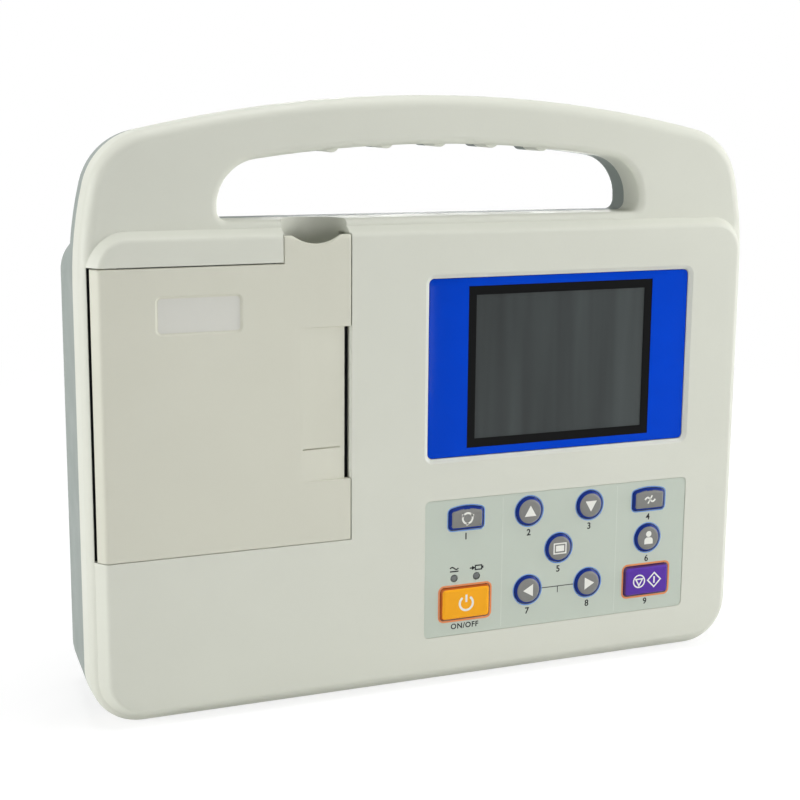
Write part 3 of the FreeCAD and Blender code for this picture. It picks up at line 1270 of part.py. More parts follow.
def make_power_board():
    board = box(POWER_X, POWER_X + POWER_W, POWER_Y, POWER_Y + BOARD_T, POWER_Z, POWER_Z + POWER_H)
    holes = [rod(x, POWER_Y - PAST, z, SMALL_SCREW_R + SCREW_PLAY, BOARD_T + 2 * PAST, Y_AXIS)
             for x, z in POWER_POSTS]
    return board.cut(holes)


def make_power_parts():
    mid_x, mid_z = POWER_X + POWER_W / 2, POWER_Z + POWER_H / 2
    front = POWER_Y - COIL_T
    parts = [box(mid_x - COIL_W / 2, mid_x + COIL_W / 2, front, POWER_Y,
                 mid_z - COIL_H / 2, mid_z + COIL_H / 2)]
    for x in (mid_x - CAP_OUT, mid_x + CAP_OUT):
        parts.append(rod(x, POWER_Y - CAP_L, mid_z + CAP_RISE, CAP_R, CAP_L, Y_AXIS))
        parts.append(box(x - CHOKE_W / 2, x + CHOKE_W / 2, POWER_Y - CHOKE_H, POWER_Y,
                         mid_z - CHOKE_DROP, mid_z - CHOKE_DROP + CHOKE_H))
    return compound(parts)


def make_battery_pack():
    half_w, half_h = BATTERY_W / 2, BATTERY_H / 2
    y = BAY_Y + BATTERY_PLAY
    return box(BATTERY_X - half_w, BATTERY_X + half_w, y, y + BATTERY_T,
               BATTERY_Z - half_h, BATTERY_Z + half_h)


def make_battery_cover():
    plate = slab(cover_outline(0, BODY_D - COVER_T), COVER_T)
    seat = BODY_D - COVER_HEAD_SINK
    cuts = [rod(x, BODY_D - COVER_T - PAST, z, SMALL_SCREW_R + SCREW_PLAY, COVER_T + 2 * PAST, Y_AXIS)
            for x, z in COVER_SCREWS]
    cuts += [rod(x, seat, z, SMALL_HEAD_R + SCREW_PLAY, COVER_T, Y_AXIS) for x, z in COVER_SCREWS]
    return plate.cut(cuts)


def make_speaker():
    front = BACK_Y - SPEAKER_T
    frame = rod(SPEAKER_X, front, SPEAKER_Z, SPEAKER_R, SPEAKER_T, Y_AXIS)
    return frame.fuse(rod(SPEAKER_X, front - SPEAKER_T, SPEAKER_Z, SPEAKER_R / 2, SPEAKER_T, Y_AXIS))


# Connectors on the right side

def inlet_blades():
    places = [(PORT_Y - BLADE_OFFSET, INLET_Z - BLADE_PITCH), (PORT_Y - BLADE_OFFSET, INLET_Z + BLADE_PITCH),
              (PORT_Y + BLADE_OFFSET, INLET_Z)]
    x0, x1 = PORT_X - INLET_L - BLADE_TAIL, PORT_X + INLET_FLANGE_T - BLADE_SHY
    half_w, half_t = BLADE_W / 2, BLADE_T / 2
    return [box(x0, x1, y - half_w, y + half_w, z - half_t, z + half_t) for y, z in places]


def side_block(x0, length, width, height, radius):
    # block square to X, with its four long edges rounded
    block = box(x0, x0 + length, PORT_Y - width / 2, PORT_Y + width / 2, -height / 2, height / 2)
    edges = [e for e in block.Edges if abs(e.BoundBox.XLength - length) < NEAR]
    return block.makeFillet(radius, edges)


def make_mains_inlet():
    body = side_block(PORT_X - INLET_L, INLET_L, INLET_W, INLET_H, INLET_WELL_R)
    flange = side_block(PORT_X, INLET_FLANGE_T, INLET_W + 2 * INLET_LIP, INLET_H + 2 * INLET_LIP,
                        INLET_WELL_R)
    end = PORT_X + INLET_FLANGE_T
    well = side_block(end - INLET_WELL_D, INLET_WELL_D + PAST, INLET_WELL_W, INLET_WELL_H, INLET_WELL_R)
    inlet = body.fuse(flange).cut(well)
    inlet.translate(V(0, 0, INLET_Z))
    return inlet.cut(inlet_blades())


def make_inlet_pins():
    return compound(inlet_blades())


def make_earth_pin():
    start = EARTH_X - WALL - EARTH_NUT_T - EARTH_TAIL
    pin = rod(start, PORT_Y, EARTH_Z, EARTH_PIN_R, EARTH_X + EARTH_PIN_L - start, X_AXIS)
    return pin.fuse(rod(EARTH_X, PORT_Y, EARTH_Z, EARTH_NUT_R, EARTH_COLLAR_T, X_AXIS))


def make_earth_nut():
    points = []
    x = EARTH_X - WALL - EARTH_NUT_T
    for side in range(NUT_SIDE_COUNT + 1):
        angle = 2 * math.pi * side / NUT_SIDE_COUNT
        points.append(V(x, PORT_Y + EARTH_NUT_R * math.cos(angle), EARTH_Z + EARTH_NUT_R * math.sin(angle)))
    nut = Part.Face(Part.makePolygon(points)).extrude(V(EARTH_NUT_T, 0, 0))
    return nut.cut(rod(x - PAST, PORT_Y, EARTH_Z, EARTH_PIN_R, EARTH_NUT_T + 2 * PAST, X_AXIS))


def lead_shell(x0, length):
    # D-shaped socket nose: a trapezium, wider on its front side
    half_w, half_h = LEAD_SHELL_W / 2, LEAD_SHELL_H / 2
    corners = [V(x0, PORT_Y - half_w, LEAD_Z - half_h), V(x0, PORT_Y - half_w, LEAD_Z + half_h),
               V(x0, PORT_Y + half_w, LEAD_Z + half_h - LEAD_TAPER),
               V(x0, PORT_Y + half_w, LEAD_Z - half_h + LEAD_TAPER)]
    return Part.Face(Part.makePolygon(corners + corners[:1])).extrude(V(length, 0, 0))


def make_lead_connector():
    plate = box(PORT_X, PORT_X + LEAD_PLATE_T, PORT_Y - LEAD_PLATE_W / 2, PORT_Y + LEAD_PLATE_W / 2,
                LEAD_Z - LEAD_PLATE_H / 2, LEAD_Z + LEAD_PLATE_H / 2)
    nose = lead_shell(PORT_X - LEAD_BODY_L, LEAD_BODY_L + LEAD_PLATE_T + LEAD_SHELL_L)
    holes = []
    face = PORT_X + LEAD_PLATE_T + LEAD_SHELL_L
    for row, count in ((-1, LEAD_PIN_COUNT), (1, LEAD_PIN_COUNT - 1)):
        for i in range(count):
            z = LEAD_Z + (i - (count - 1) / 2) * LEAD_PIN_PITCH
            y = PORT_Y + row * LEAD_PIN_ROW / 2
            holes.append(rod(face - LEAD_PIN_D, y, z, LEAD_PIN_R, LEAD_PIN_D, X_AXIS))
    for side in (-JACK_HALF, JACK_HALF):
        holes.append(rod(PORT_X - PAST, PORT_Y, LEAD_Z + side, JACK_SHANK_R, LEAD_PLATE_T + 2 * PAST, X_AXIS))
    return plate.fuse(nose).cut(holes)


def make_jack_screws():
    screws = []
    for side in (-JACK_HALF, JACK_HALF):
        z = LEAD_Z + side
        head = rod(PORT_X + LEAD_PLATE_T, PORT_Y, z, JACK_R, JACK_L, X_AXIS)
        shank = rod(PORT_X + LEAD_PLATE_T - JACK_SHANK_L, PORT_Y, z, JACK_SHANK_R, JACK_SHANK_L, X_AXIS)
        thread = rod(PORT_X + LEAD_PLATE_T + JACK_FLOOR, PORT_Y, z, JACK_THREAD_R, JACK_L, X_AXIS)
        screws.append(head.fuse(shank).cut(thread))
    return compound(screws)


# Every piece, in the order in which the object is put together

def all_parts():
    block = front_block()
    parts = {
        "front_shell": make_front_shell(block),
        "rear_shell": make_rear_shell(),
        "shell_screws": make_shell_screws(),
        "rubber_feet": make_rubber_feet(),
        "display_window": make_display_window(),
        "lcd_panel": make_lcd_panel(),
        "display_bracket": make_display_bracket(),
        "display_ribbon": make_display_ribbon(),
        "keypad_overlay": make_keypad_overlay(),
        "key_mat": make_key_mat(),
        "key_board": make_key_board(),
        "indicator_lights": make_indicator_lights(),
        "inner_screws": make_inner_screws(),
        "main_board": make_main_board(),
        "main_board_parts": make_main_parts(),
        "board_header": make_board_header(),
        "power_board": make_power_board(),
        "power_board_parts": make_power_parts(),
        "power_screws": make_power_screws(),
        "battery_pack": make_battery_pack(),
        "battery_cover": make_battery_cover(),
        "cover_screws": make_cover_screws(),
        "loudspeaker": make_speaker(),
        "mains_inlet": make_mains_inlet(),
        "inlet_pins": make_inlet_pins(),
        "earth_pin": make_earth_pin(),
        "earth_nut": make_earth_nut(),
        "lead_connector": make_lead_connector(),
        "jack_screws": make_jack_screws(),
        "paper_tray": make_paper_tray(),
        "printer_chassis": make_printer_chassis(),
        "print_head": make_print_head(),
        "head_sink": make_head_sink(),
        "feed_motor": make_feed_motor(),
        "motor_shaft": make_motor_shaft(),
        "motor_pinion": make_motor_pinion(),
        "idler_stud": make_idler_stud(),
        "idler_gear": make_idler_gear(),
        "paper_roll": make_paper_roll(),
        "roll_core": make_roll_core(),
        "paper_spindle": make_paper_spindle(),
        "paper_door": make_paper_door(block),
        "hinge_pins": make_hinge_pins(),
        "platen_bushes": make_platen_bushes(),
        "platen_roller": make_platen_roller(),
        "platen_shaft": make_platen_shaft(),
        "platen_gear": make_platen_gear(),
    }
    for name in KEYS:
        parts[name] = make_key(name)
    return parts


os.makedirs("parts", exist_ok=True)
for node, shape in all_parts().items():
    shape.translate(V(0, -MIDDLE_Y, 0))
    shape.exportStep("parts/" + node + ".step")
    print(node, len(shape.Solids), round(shape.Volume / 1000, 2), "cm3", shape.isValid())
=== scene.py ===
"""Looks of a portable one-channel ECG recorder that stands upright on its base edge."""

import math

import bmesh
import bpy
from mathutils import Matrix, Vector


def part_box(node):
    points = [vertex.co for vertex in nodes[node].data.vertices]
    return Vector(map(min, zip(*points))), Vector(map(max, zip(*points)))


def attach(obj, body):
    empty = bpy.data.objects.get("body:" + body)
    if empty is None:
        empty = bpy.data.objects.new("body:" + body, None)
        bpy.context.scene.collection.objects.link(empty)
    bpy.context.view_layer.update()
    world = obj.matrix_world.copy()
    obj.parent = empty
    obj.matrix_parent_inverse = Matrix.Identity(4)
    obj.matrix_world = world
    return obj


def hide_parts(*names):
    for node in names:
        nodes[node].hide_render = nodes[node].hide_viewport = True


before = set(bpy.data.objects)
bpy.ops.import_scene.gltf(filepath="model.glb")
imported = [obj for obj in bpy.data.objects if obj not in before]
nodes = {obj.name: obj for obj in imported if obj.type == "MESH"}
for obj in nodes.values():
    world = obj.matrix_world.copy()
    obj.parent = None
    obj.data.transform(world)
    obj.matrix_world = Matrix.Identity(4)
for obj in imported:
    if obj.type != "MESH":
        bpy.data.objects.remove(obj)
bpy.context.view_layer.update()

MM = 0.001
X, Y, Z = range(3)
FLAT = math.radians(0.5)  # faces that meet flatter than this count as one face
SMOOTH = math.radians(35)  # edges sharper than this stay sharp
FLAT_FACE = math.cos(FLAT)
TOUCH = 0.01 * MM  # a point this near to a face counts as on it
NEAR = 0.1 * MM  # the same for a curved or stepped fitting
FACING = 0.95  # cosine over which a face looks straight along an axis
HALF_FACING = 0.5  # cosine over which it looks roughly along it
SIDEWAYS = 0.3  # cosine under which it looks across that axis

# Camera, in the frame of a picture of 800 by 800 pixels
PICTURE_PX = 800
FOCAL_PX = 1570.46
SENSOR_MM = 36.0
CAMERA_PLACE = (-0.2307, -0.5412, 0.2171)
CAMERA_YAW = math.radians(22.657)
CAMERA_PITCH = math.radians(-10.907)
CAMERA_ROLL = math.radians(0.466)
CLIP_NEAR = 0.01

# Studio: a white floor under soft boxes
FLOOR_SIZE = 30.0
FLOOR_DROP = 0.0002  # below the part, so that the two share no plane
FLOOR_GLOW = 0.78  # the floor's own light where a shadow may fall
SHADOW_NEAR = 0.25  # shadows fade from here
SHADOW_FAR = 0.75  # and are gone from here
AMBIENT = 0.11  # light from all round
WHITE = (1.0, 1.0, 1.0, 1.0)
FLOOR_SHADED = (0.3, 0.3, 0.3, 1.0)  # how much a shadow shows on the floor
FLOOR_BOUNCE = (0.8, 0.8, 0.79, 1.0)  # what the floor throws back on the part

# Moulded surfaces
CLOUD = 45 * MM  # size of the clouds in the plastic's tone
EDGE_ROUNDING_AND_HIGHLIGHT = 0.5 * MM  # how far in from an edge the shading is rounded and a painted highlight lightens the colour

# Sockets of a colour mix node, by number because several of them share a name
MIX_SHARE = 0
MIX_FIRST = 6
MIX_SECOND = 7
MIX_RESULT = 2

# Keys, in millimetres
KEY_FLANGE = 1.0  # under the film, outside the outline that shows
ARCH_CORNER = 1.5
ARCH_TOP_R = 22.0
BIG_CORNER = 1.4
CORNER_STEPS = 8  # straight steps that make up a round corner
ARCH_STEPS = 16
KEY_ROUNDING = 0.6
KEY_CAP_DEEP = 0.45  # the cap's colour reaches this far from the face

# Lights and printing on the keypad film, in millimetres
LIGHT_DOME = 0.8
INK_HALF = 0.02  # half the thickness of a print
RING_IN = 0.3  # from a key's outline to the ring printed round it
RING_W = 0.35
BIG_RING_W = 0.7
LEGEND_SIZE = 3.5
WORD_SIZE = 2.9
LEGEND_BELOW = 2.9  # middle of a legend below its key
LETTER_WEIGHT = 0.075
LETTER_SPACE = 1.12  # times the font's own spacing
ZONE_LINES = (25.1, 74.3)  # places across the front
ZONE_LINE_W = 0.35
ZONE_LINE_SHORT = 2.0  # less than the film's height
SIGN_UP = 3.3  # sign above the middle of its light
BRACKET_W = 0.32
BRACKET_DROP = 2.4
ARROW_R = 2.8
ARROW_SHIFT = 0.4

# Display window, in millimetres
WINDOW_CORNER = 1.8
WINDOW_EDGE = 0.3
BORDER_W = 77.0
BORDER_H = 60.0
PICTURE_W = 70.6
PICTURE_H = 53.4
BORDER_SINK = 0.12
PICTURE_SINK = 0.25
PRINT_DEEP = 0.9  # faces further back keep the plate's blue

# Paper door, in millimetres
DOOR_ROUNDING = 0.25
DOOR_SAG = 0.13  # the door hangs this much low in its opening
BADGE_X = -90.7
BADGE_Z = 144.55
BADGE_W = 28.6
BADGE_H = 11.7
BADGE_R = 1.3
BADGE_DEEP = 0.6  # floor of the badge recess behind the door's face

# Side fittings, in millimetres
SHELL_RISE = 3.0
SHELL_CORNER = 1.6
SHELL_RIM = 0.45
RIM_SPARE = 0.05  # allowance in finding the socket's face
FLANGE_CORNER = 1.2
CORNER_LONG = 0.5  # corners shorter than this stay sharp
CONTACT_HALF_Y = 2.5  # half the field that holds the contacts
CONTACT_HALF_Z = 10.6
JACK_SIDES = 6
JACK_RISE = 3.0
JACK_CHAMFER = 0.35
JACK_BORE_SIDES = 24
JACK_BORE_R = 1.42
JACK_BORE_DEEP = 2.5
INLET_ROUNDING = 0.5
PIN_ROUNDING = 0.6
RECESS_DEEP = 4.5  # floor of the recess in from the right side
SIDE_SIGN_Z = {"mains_inlet": 63.0, "earth_pin": 91.0, "lead_connector": 138.3}
HEART_POINTS = 60
HEART_SCALE = 0.13

# Back, in millimetres
CROSS_L = 2.6
CROSS_W = 0.6
CROSS_DEEP = 0.7
PLATE_X = 48.0
PLATE_Z = 48.0
PLATE_W = 66.0
PLATE_H = 34.0
PLATE_T = 0.3
PLATE_CORNER = 2.0
PLATE_BORDER = 1.4
PLATE_LINE = 0.4


def linear(code):
    """An sRGB hex colour as linear red, green, blue and alpha."""
    parts = [int(code[start:start + 2], 16) / 255 for start in (1, 3, 5)]
    return [part / 12.92 if part <= 0.04045 else ((part + 0.055) / 1.055) ** 2.4 for part in parts] + [1.0]


def shade(code, share):
    """A hex colour made darker or lighter, as linear values."""
    return [min(1.0, part * share) for part in linear(code)[:3]] + [1.0]


def add(tree, kind, sockets=None, **settings):
    """Adds a node with its settings, and gives each named socket a value or a link."""
    node = tree.nodes.new("ShaderNode" + kind)
    for name, value in settings.items():
        setattr(node, name, value)
    for socket, value in (sockets or {}).items():
        if isinstance(value, bpy.types.NodeSocket):
            tree.links.new(value, node.inputs[socket])
        else:
            node.inputs[socket].default_value = value
    return node


def colour_between(tree, share, first, second):
    """A colour between two others, at the place that the share sets."""
    sockets = {MIX_SHARE: share, MIX_FIRST: first, MIX_SECOND: second}
    return add(tree, "Mix", sockets, data_type="RGBA").outputs[MIX_RESULT]


def maths(tree, operation, *values):
    """The result of a math node on its values."""
    return add(tree, "Math", dict(enumerate(values)), operation=operation).outputs[0]


def new_finish(name, sockets):
    """A new material with its constant shader values, and its nodes, shader and place on the piece."""
    made = bpy.data.materials.new(name)
    made.use_nodes = True
    tree = made.node_tree
    tree.nodes.clear()
    shader = add(tree, "BsdfPrincipled", sockets)
    add(tree, "OutputMaterial", {"Surface": shader.outputs[0]})
    place = add(tree, "TexCoord").outputs["Object"]
    return made, tree, shader, place


def connect(tree, shader, tone, matt, bump=None):
    """Links a colour, a roughness and, where there is one, a bump to the shader."""
    tree.links.new(tone, shader.inputs["Base Color"])
    tree.links.new(matt.outputs[0], shader.inputs["Roughness"])
    if bump is not None:
        tree.links.new(bump.outputs[0], shader.inputs["Normal"])


def moulded_abs(name, code, roughness):
    """Housing ABS from a spark-textured mould: matt, slightly cloudy in tone, its edges lightened by a
    painted highlight.
    """
    made, tree, shader, place = new_finish(name, {"IOR": 1.54, "Specular IOR Level": 0.35})
    cloud = add(tree, "TexNoise", {"Vector": place, "Scale": 1 / CLOUD, "Detail": 3.0})
    tone = colour_between(tree, cloud.outputs["Fac"], shade(code, 0.965), shade(code, 1.03))
    soft_edge = add(tree, "Bevel", {"Radius": EDGE_ROUNDING_AND_HIGHLIGHT}, samples=4)
    face = add(tree, "NewGeometry")
    bend = add(tree, "VectorMath", {0: soft_edge.outputs[0], 1: face.outputs["Normal"]},
               operation="DOT_PRODUCT")
    # painted highlight: the colour is lightened where the rounded edge normal turns away from the face
    edge_highlight = add(tree, "MapRange", {"Value": bend.outputs["Value"], "From Min": 0.98, "From Max": 0.75,
                                    "To Min": 0.0, "To Max": 0.4})
    highlighted = colour_between(tree, edge_highlight.outputs[0], tone, shade(code, 1.18))
    # the mould's grain is some 0.3 mm wide and is drawn at 1 mm so that it shows
    grain = add(tree, "TexNoise", {"Vector": place, "Scale": 1 / (1.0 * MM), "Detail": 2.0})
    handled = add(tree, "TexNoise", {"Vector": place, "Scale": 1 / (12 * MM), "Detail": 4.0})
    matt = add(tree, "MapRange", {"Value": handled.outputs["Fac"], "From Min": 0.3, "From Max": 0.7,
                                  "To Min": roughness - 0.07, "To Max": roughness + 0.07})
    bump = add(tree, "Bump", {"Height": grain.outputs["Fac"], "Normal": soft_edge.outputs[0],
                              "Strength": 0.25, "Distance": 0.05 * MM})
    connect(tree, shader, highlighted, matt, bump)
    return made


def fine_surface(name, code, roughness, specular, spot_mm, spread, grain_mm=0.5, depth_mm=0.02):
    """A small moulded, coated or printed surface: faintly mottled, with a sheen that varies over it."""
    made, tree, shader, place = new_finish(name, {"IOR": 1.5, "Specular IOR Level": specular})
    mottle = add(tree, "TexNoise", {"Vector": place, "Scale": 1 / (spot_mm * MM), "Detail": 3.0})
    tone = colour_between(tree, mottle.outputs["Fac"], shade(code, 1 - spread), shade(code, 1 + spread))
    matt = add(tree, "MapRange", {"Value": mottle.outputs["Fac"], "From Min": 0.3, "From Max": 0.7,
                                  "To Min": roughness * 0.88, "To Max": roughness * 1.12})
    grain = add(tree, "TexNoise", {"Vector": place, "Scale": 1 / (grain_mm * MM), "Detail": 2.0})
    bump = add(tree, "Bump", {"Height": grain.outputs["Fac"], "Strength": 0.2, "Distance": depth_mm * MM})
    connect(tree, shader, tone, matt, bump)
    return made


def metal(name, code, roughness, run=(1, 1, 1)):
    """Plated, drawn or turned metal: bright, with fine tool lines and patches dulled by handling."""
    made, tree, shader, place = new_finish(name, {"Metallic": 1.0})
    # tool lines are finer than 0.1 mm and are drawn 0.25 mm apart so that they show
    lines = add(tree, "Mapping", {"Vector": place, "Scale": [1 / (0.25 * MM * length) for length in run]})
    tool = add(tree, "TexNoise", {"Vector": lines.outputs[0], "Scale": 1.0, "Detail": 2.0})
    patch = add(tree, "TexNoise", {"Vector": place, "Scale": 1 / (6 * MM), "Detail": 3.0})
    tone = colour_between(tree, patch.outputs["Fac"], shade(code, 0.9), shade(code, 1.05))
    matt = add(tree, "MapRange", {"Value": tool.outputs["Fac"], "From Min": 0.25, "From Max": 0.75,
                                  "To Min": roughness - 0.05, "To Max": roughness + 0.07})
    bump = add(tree, "Bump", {"Height": tool.outputs["Fac"], "Strength": 0.12, "Distance": 0.01 * MM})
    connect(tree, shader, tone, matt, bump)
    return made


def hard_coated_acrylic(name, code, specular):
    """The window's printed areas behind clear acrylic: deep even colour, smooth, with faint wipe marks."""
    made, tree, shader, place = new_finish(name, {"IOR": 1.49, "Specular IOR Level": specular})
    # wipe marks run across the window, some 20 mm long and 1.5 mm apart
    wipe = add(tree, "Mapping", {"Vector": place, "Scale": (1 / (20 * MM), 1 / (20 * MM), 1 / (1.5 * MM))})
    marks = add(tree, "TexNoise", {"Vector": wipe.outputs[0], "Scale": 1.0, "Detail": 4.0})
    matt = add(tree, "MapRange", {"Value": marks.outputs["Fac"], "From Min": 0.3, "From Max": 0.7,
                                  "To Min": 0.07, "To Max": 0.16})
    pooled = add(tree, "TexNoise", {"Vector": place, "Scale": 1 / (18 * MM), "Detail": 2.0})
    tone = colour_between(tree, pooled.outputs["Fac"], shade(code, 0.93), shade(code, 1.07))
    connect(tree, shader, tone, matt)
    return made


def unlit_polariser():
    """The display when off: dark grey film with a painted reflection of soft upright streaks that lightens
    to the right.
    """
    low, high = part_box("display_window")
    made, tree, shader, place = new_finish("unlit_display_polariser",
                                           {"IOR": 1.49, "Specular IOR Level": 0.2})
    wide = high.x - low.x
    # painted reflection: the film's tone lightens towards the right
    across = add(tree, "Mapping", {"Vector": place, "Location": (-low.x / wide, 0.0, 0.0),
                                   "Scale": (1 / wide, 1.0, 1.0)})
    painted_reflection_fade = add(tree, "TexGradient", {"Vector": across.outputs[0]})
    # painted reflection streaks some 9 mm wide that run nearly the height of the picture
    upright = add(tree, "Mapping", {"Vector": place, "Scale": (1 / (9 * MM), 1.0, 1 / (160 * MM))})
    reflection_streak = add(tree, "TexNoise", {"Vector": upright.outputs[0], "Scale": 1.0, "Detail": 2.0})
    # the painted reflection's streaks and lightening together set the film's tone
    both = maths(tree, "MULTIPLY_ADD", painted_reflection_fade.outputs["Fac"], 0.55, reflection_streak.outputs["Fac"])
    level = add(tree, "MapRange", {"Value": both, "From Min": 0.45, "From Max": 1.1})
    tone = colour_between(tree, level.outputs[0], linear("#343838"), linear("#4A5050"))
    matt = add(tree, "MapRange", {"Value": reflection_streak.outputs["Fac"], "To Min": 0.1, "To Max": 0.2})
    connect(tree, shader, tone, matt)
    return made


def circuit_board():
    """Glass-fibre board under green solder mask: raised paler tracks in runs, and tinned pads."""
    made, tree, shader, place = new_finish("green_masked_circuit_board", {"IOR": 1.5})
    parts = add(tree, "SeparateXYZ", {0: place})
    area = add(tree, "TexNoise", {"Vector": place, "Scale": 1 / (9 * MM), "Detail": 1.0})
    tracks = []
    for axis, rule in (("X", "GREATER_THAN"), ("Z", "LESS_THAN")):
        # tracks 0.4 mm wide and 1.27 mm apart run one way where the noise is high, and across it where low
        off = maths(tree, "PINGPONG", parts.outputs[axis], 1.27 / 2 * MM)
        line = maths(tree, "LESS_THAN", off, 0.2 * MM)
        here = maths(tree, rule, area.outputs["Fac"], 0.5)
        tracks.append(maths(tree, "MULTIPLY", line, here))
    track = maths(tree, "MAXIMUM", *tracks)
    masked = colour_between(tree, track, linear("#1B5236"), linear("#2C7A50"))
    dots = add(tree, "TexVoronoi", {"Vector": place, "Scale": 1 / (4 * MM)})
    pad = maths(tree, "LESS_THAN", dots.outputs["Distance"], 0.16)
    tone = colour_between(tree, pad, masked, linear("#B9BCB8"))
    matt = add(tree, "MapRange", {"Value": pad, "To Min": 0.38, "To Max": 0.25})
    bump = add(tree, "Bump", {"Height": track, "Strength": 0.4, "Distance": 0.035 * MM})
    connect(tree, shader, tone, matt, bump)
    return made


def wound_chart_paper():
    """Thermal chart paper on a roll: white with a red grid of 1 and 5 mm, in layers at the ends."""
    low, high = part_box("paper_roll")
    made, tree, shader, place = new_finish("wound_thermal_chart_paper",
                                           {"IOR": 1.5, "Specular IOR Level": 0.3})
    about = add(tree, "Mapping", {"Vector": place, "Location": -(low + high) / 2})
    parts = add(tree, "SeparateXYZ", {0: about.outputs[0]})
    turn = maths(tree, "ARCTAN2", parts.outputs["Y"], parts.outputs["X"])
    around = maths(tree, "MULTIPLY", turn, (high.x - low.x) / 2)
    grid = None
    for way in (around, parts.outputs["Z"]):
        # the spacing of the lines, and half the width of one
        for pitch, half in ((1.0 * MM, 0.06 * MM), (5.0 * MM, 0.16 * MM)):
            off = maths(tree, "PINGPONG", way, pitch / 2)
            line = maths(tree, "LESS_THAN", off, half)
            grid = line if grid is None else maths(tree, "MAXIMUM", grid, line)
    face = add(tree, "NewGeometry")
    facing = add(tree, "SeparateXYZ", {0: face.outputs["Normal"]})
    flat = maths(tree, "ABSOLUTE", facing.outputs["Z"])
    outside = maths(tree, "LESS_THAN", flat, 0.5)
    printed = maths(tree, "MULTIPLY", grid, outside)
    flatten = add(tree, "VectorMath", {0: about.outputs[0], 1: (1.0, 1.0, 0.0)}, operation="MULTIPLY")
    reach = add(tree, "VectorMath", {0: flatten.outputs[0]}, operation="LENGTH")
    # a layer is 0.06 mm thick and is drawn 0.5 mm thick so that it shows
    layer = maths(tree, "PINGPONG", reach.outputs["Value"], 0.25 * MM)
    wound = add(tree, "MapRange", {"Value": layer, "From Max": 0.25 * MM})
    ends = colour_between(tree, wound.outputs[0], linear("#E2DFD8"), linear("#F6F4EF"))
    tone = colour_between(tree, printed, ends, linear("#E49A92"))
    fibre = add(tree, "TexNoise", {"Vector": place, "Scale": 1 / (0.6 * MM), "Detail": 3.0})
    matt = add(tree, "MapRange", {"Value": fibre.outputs["Fac"], "To Min": 0.48, "To Max": 0.62})
    bump = add(tree, "Bump", {"Height": wound.outputs[0], "Strength": 0.2, "Distance": 0.03 * MM})
    connect(tree, shader, tone, matt, bump)
    return made


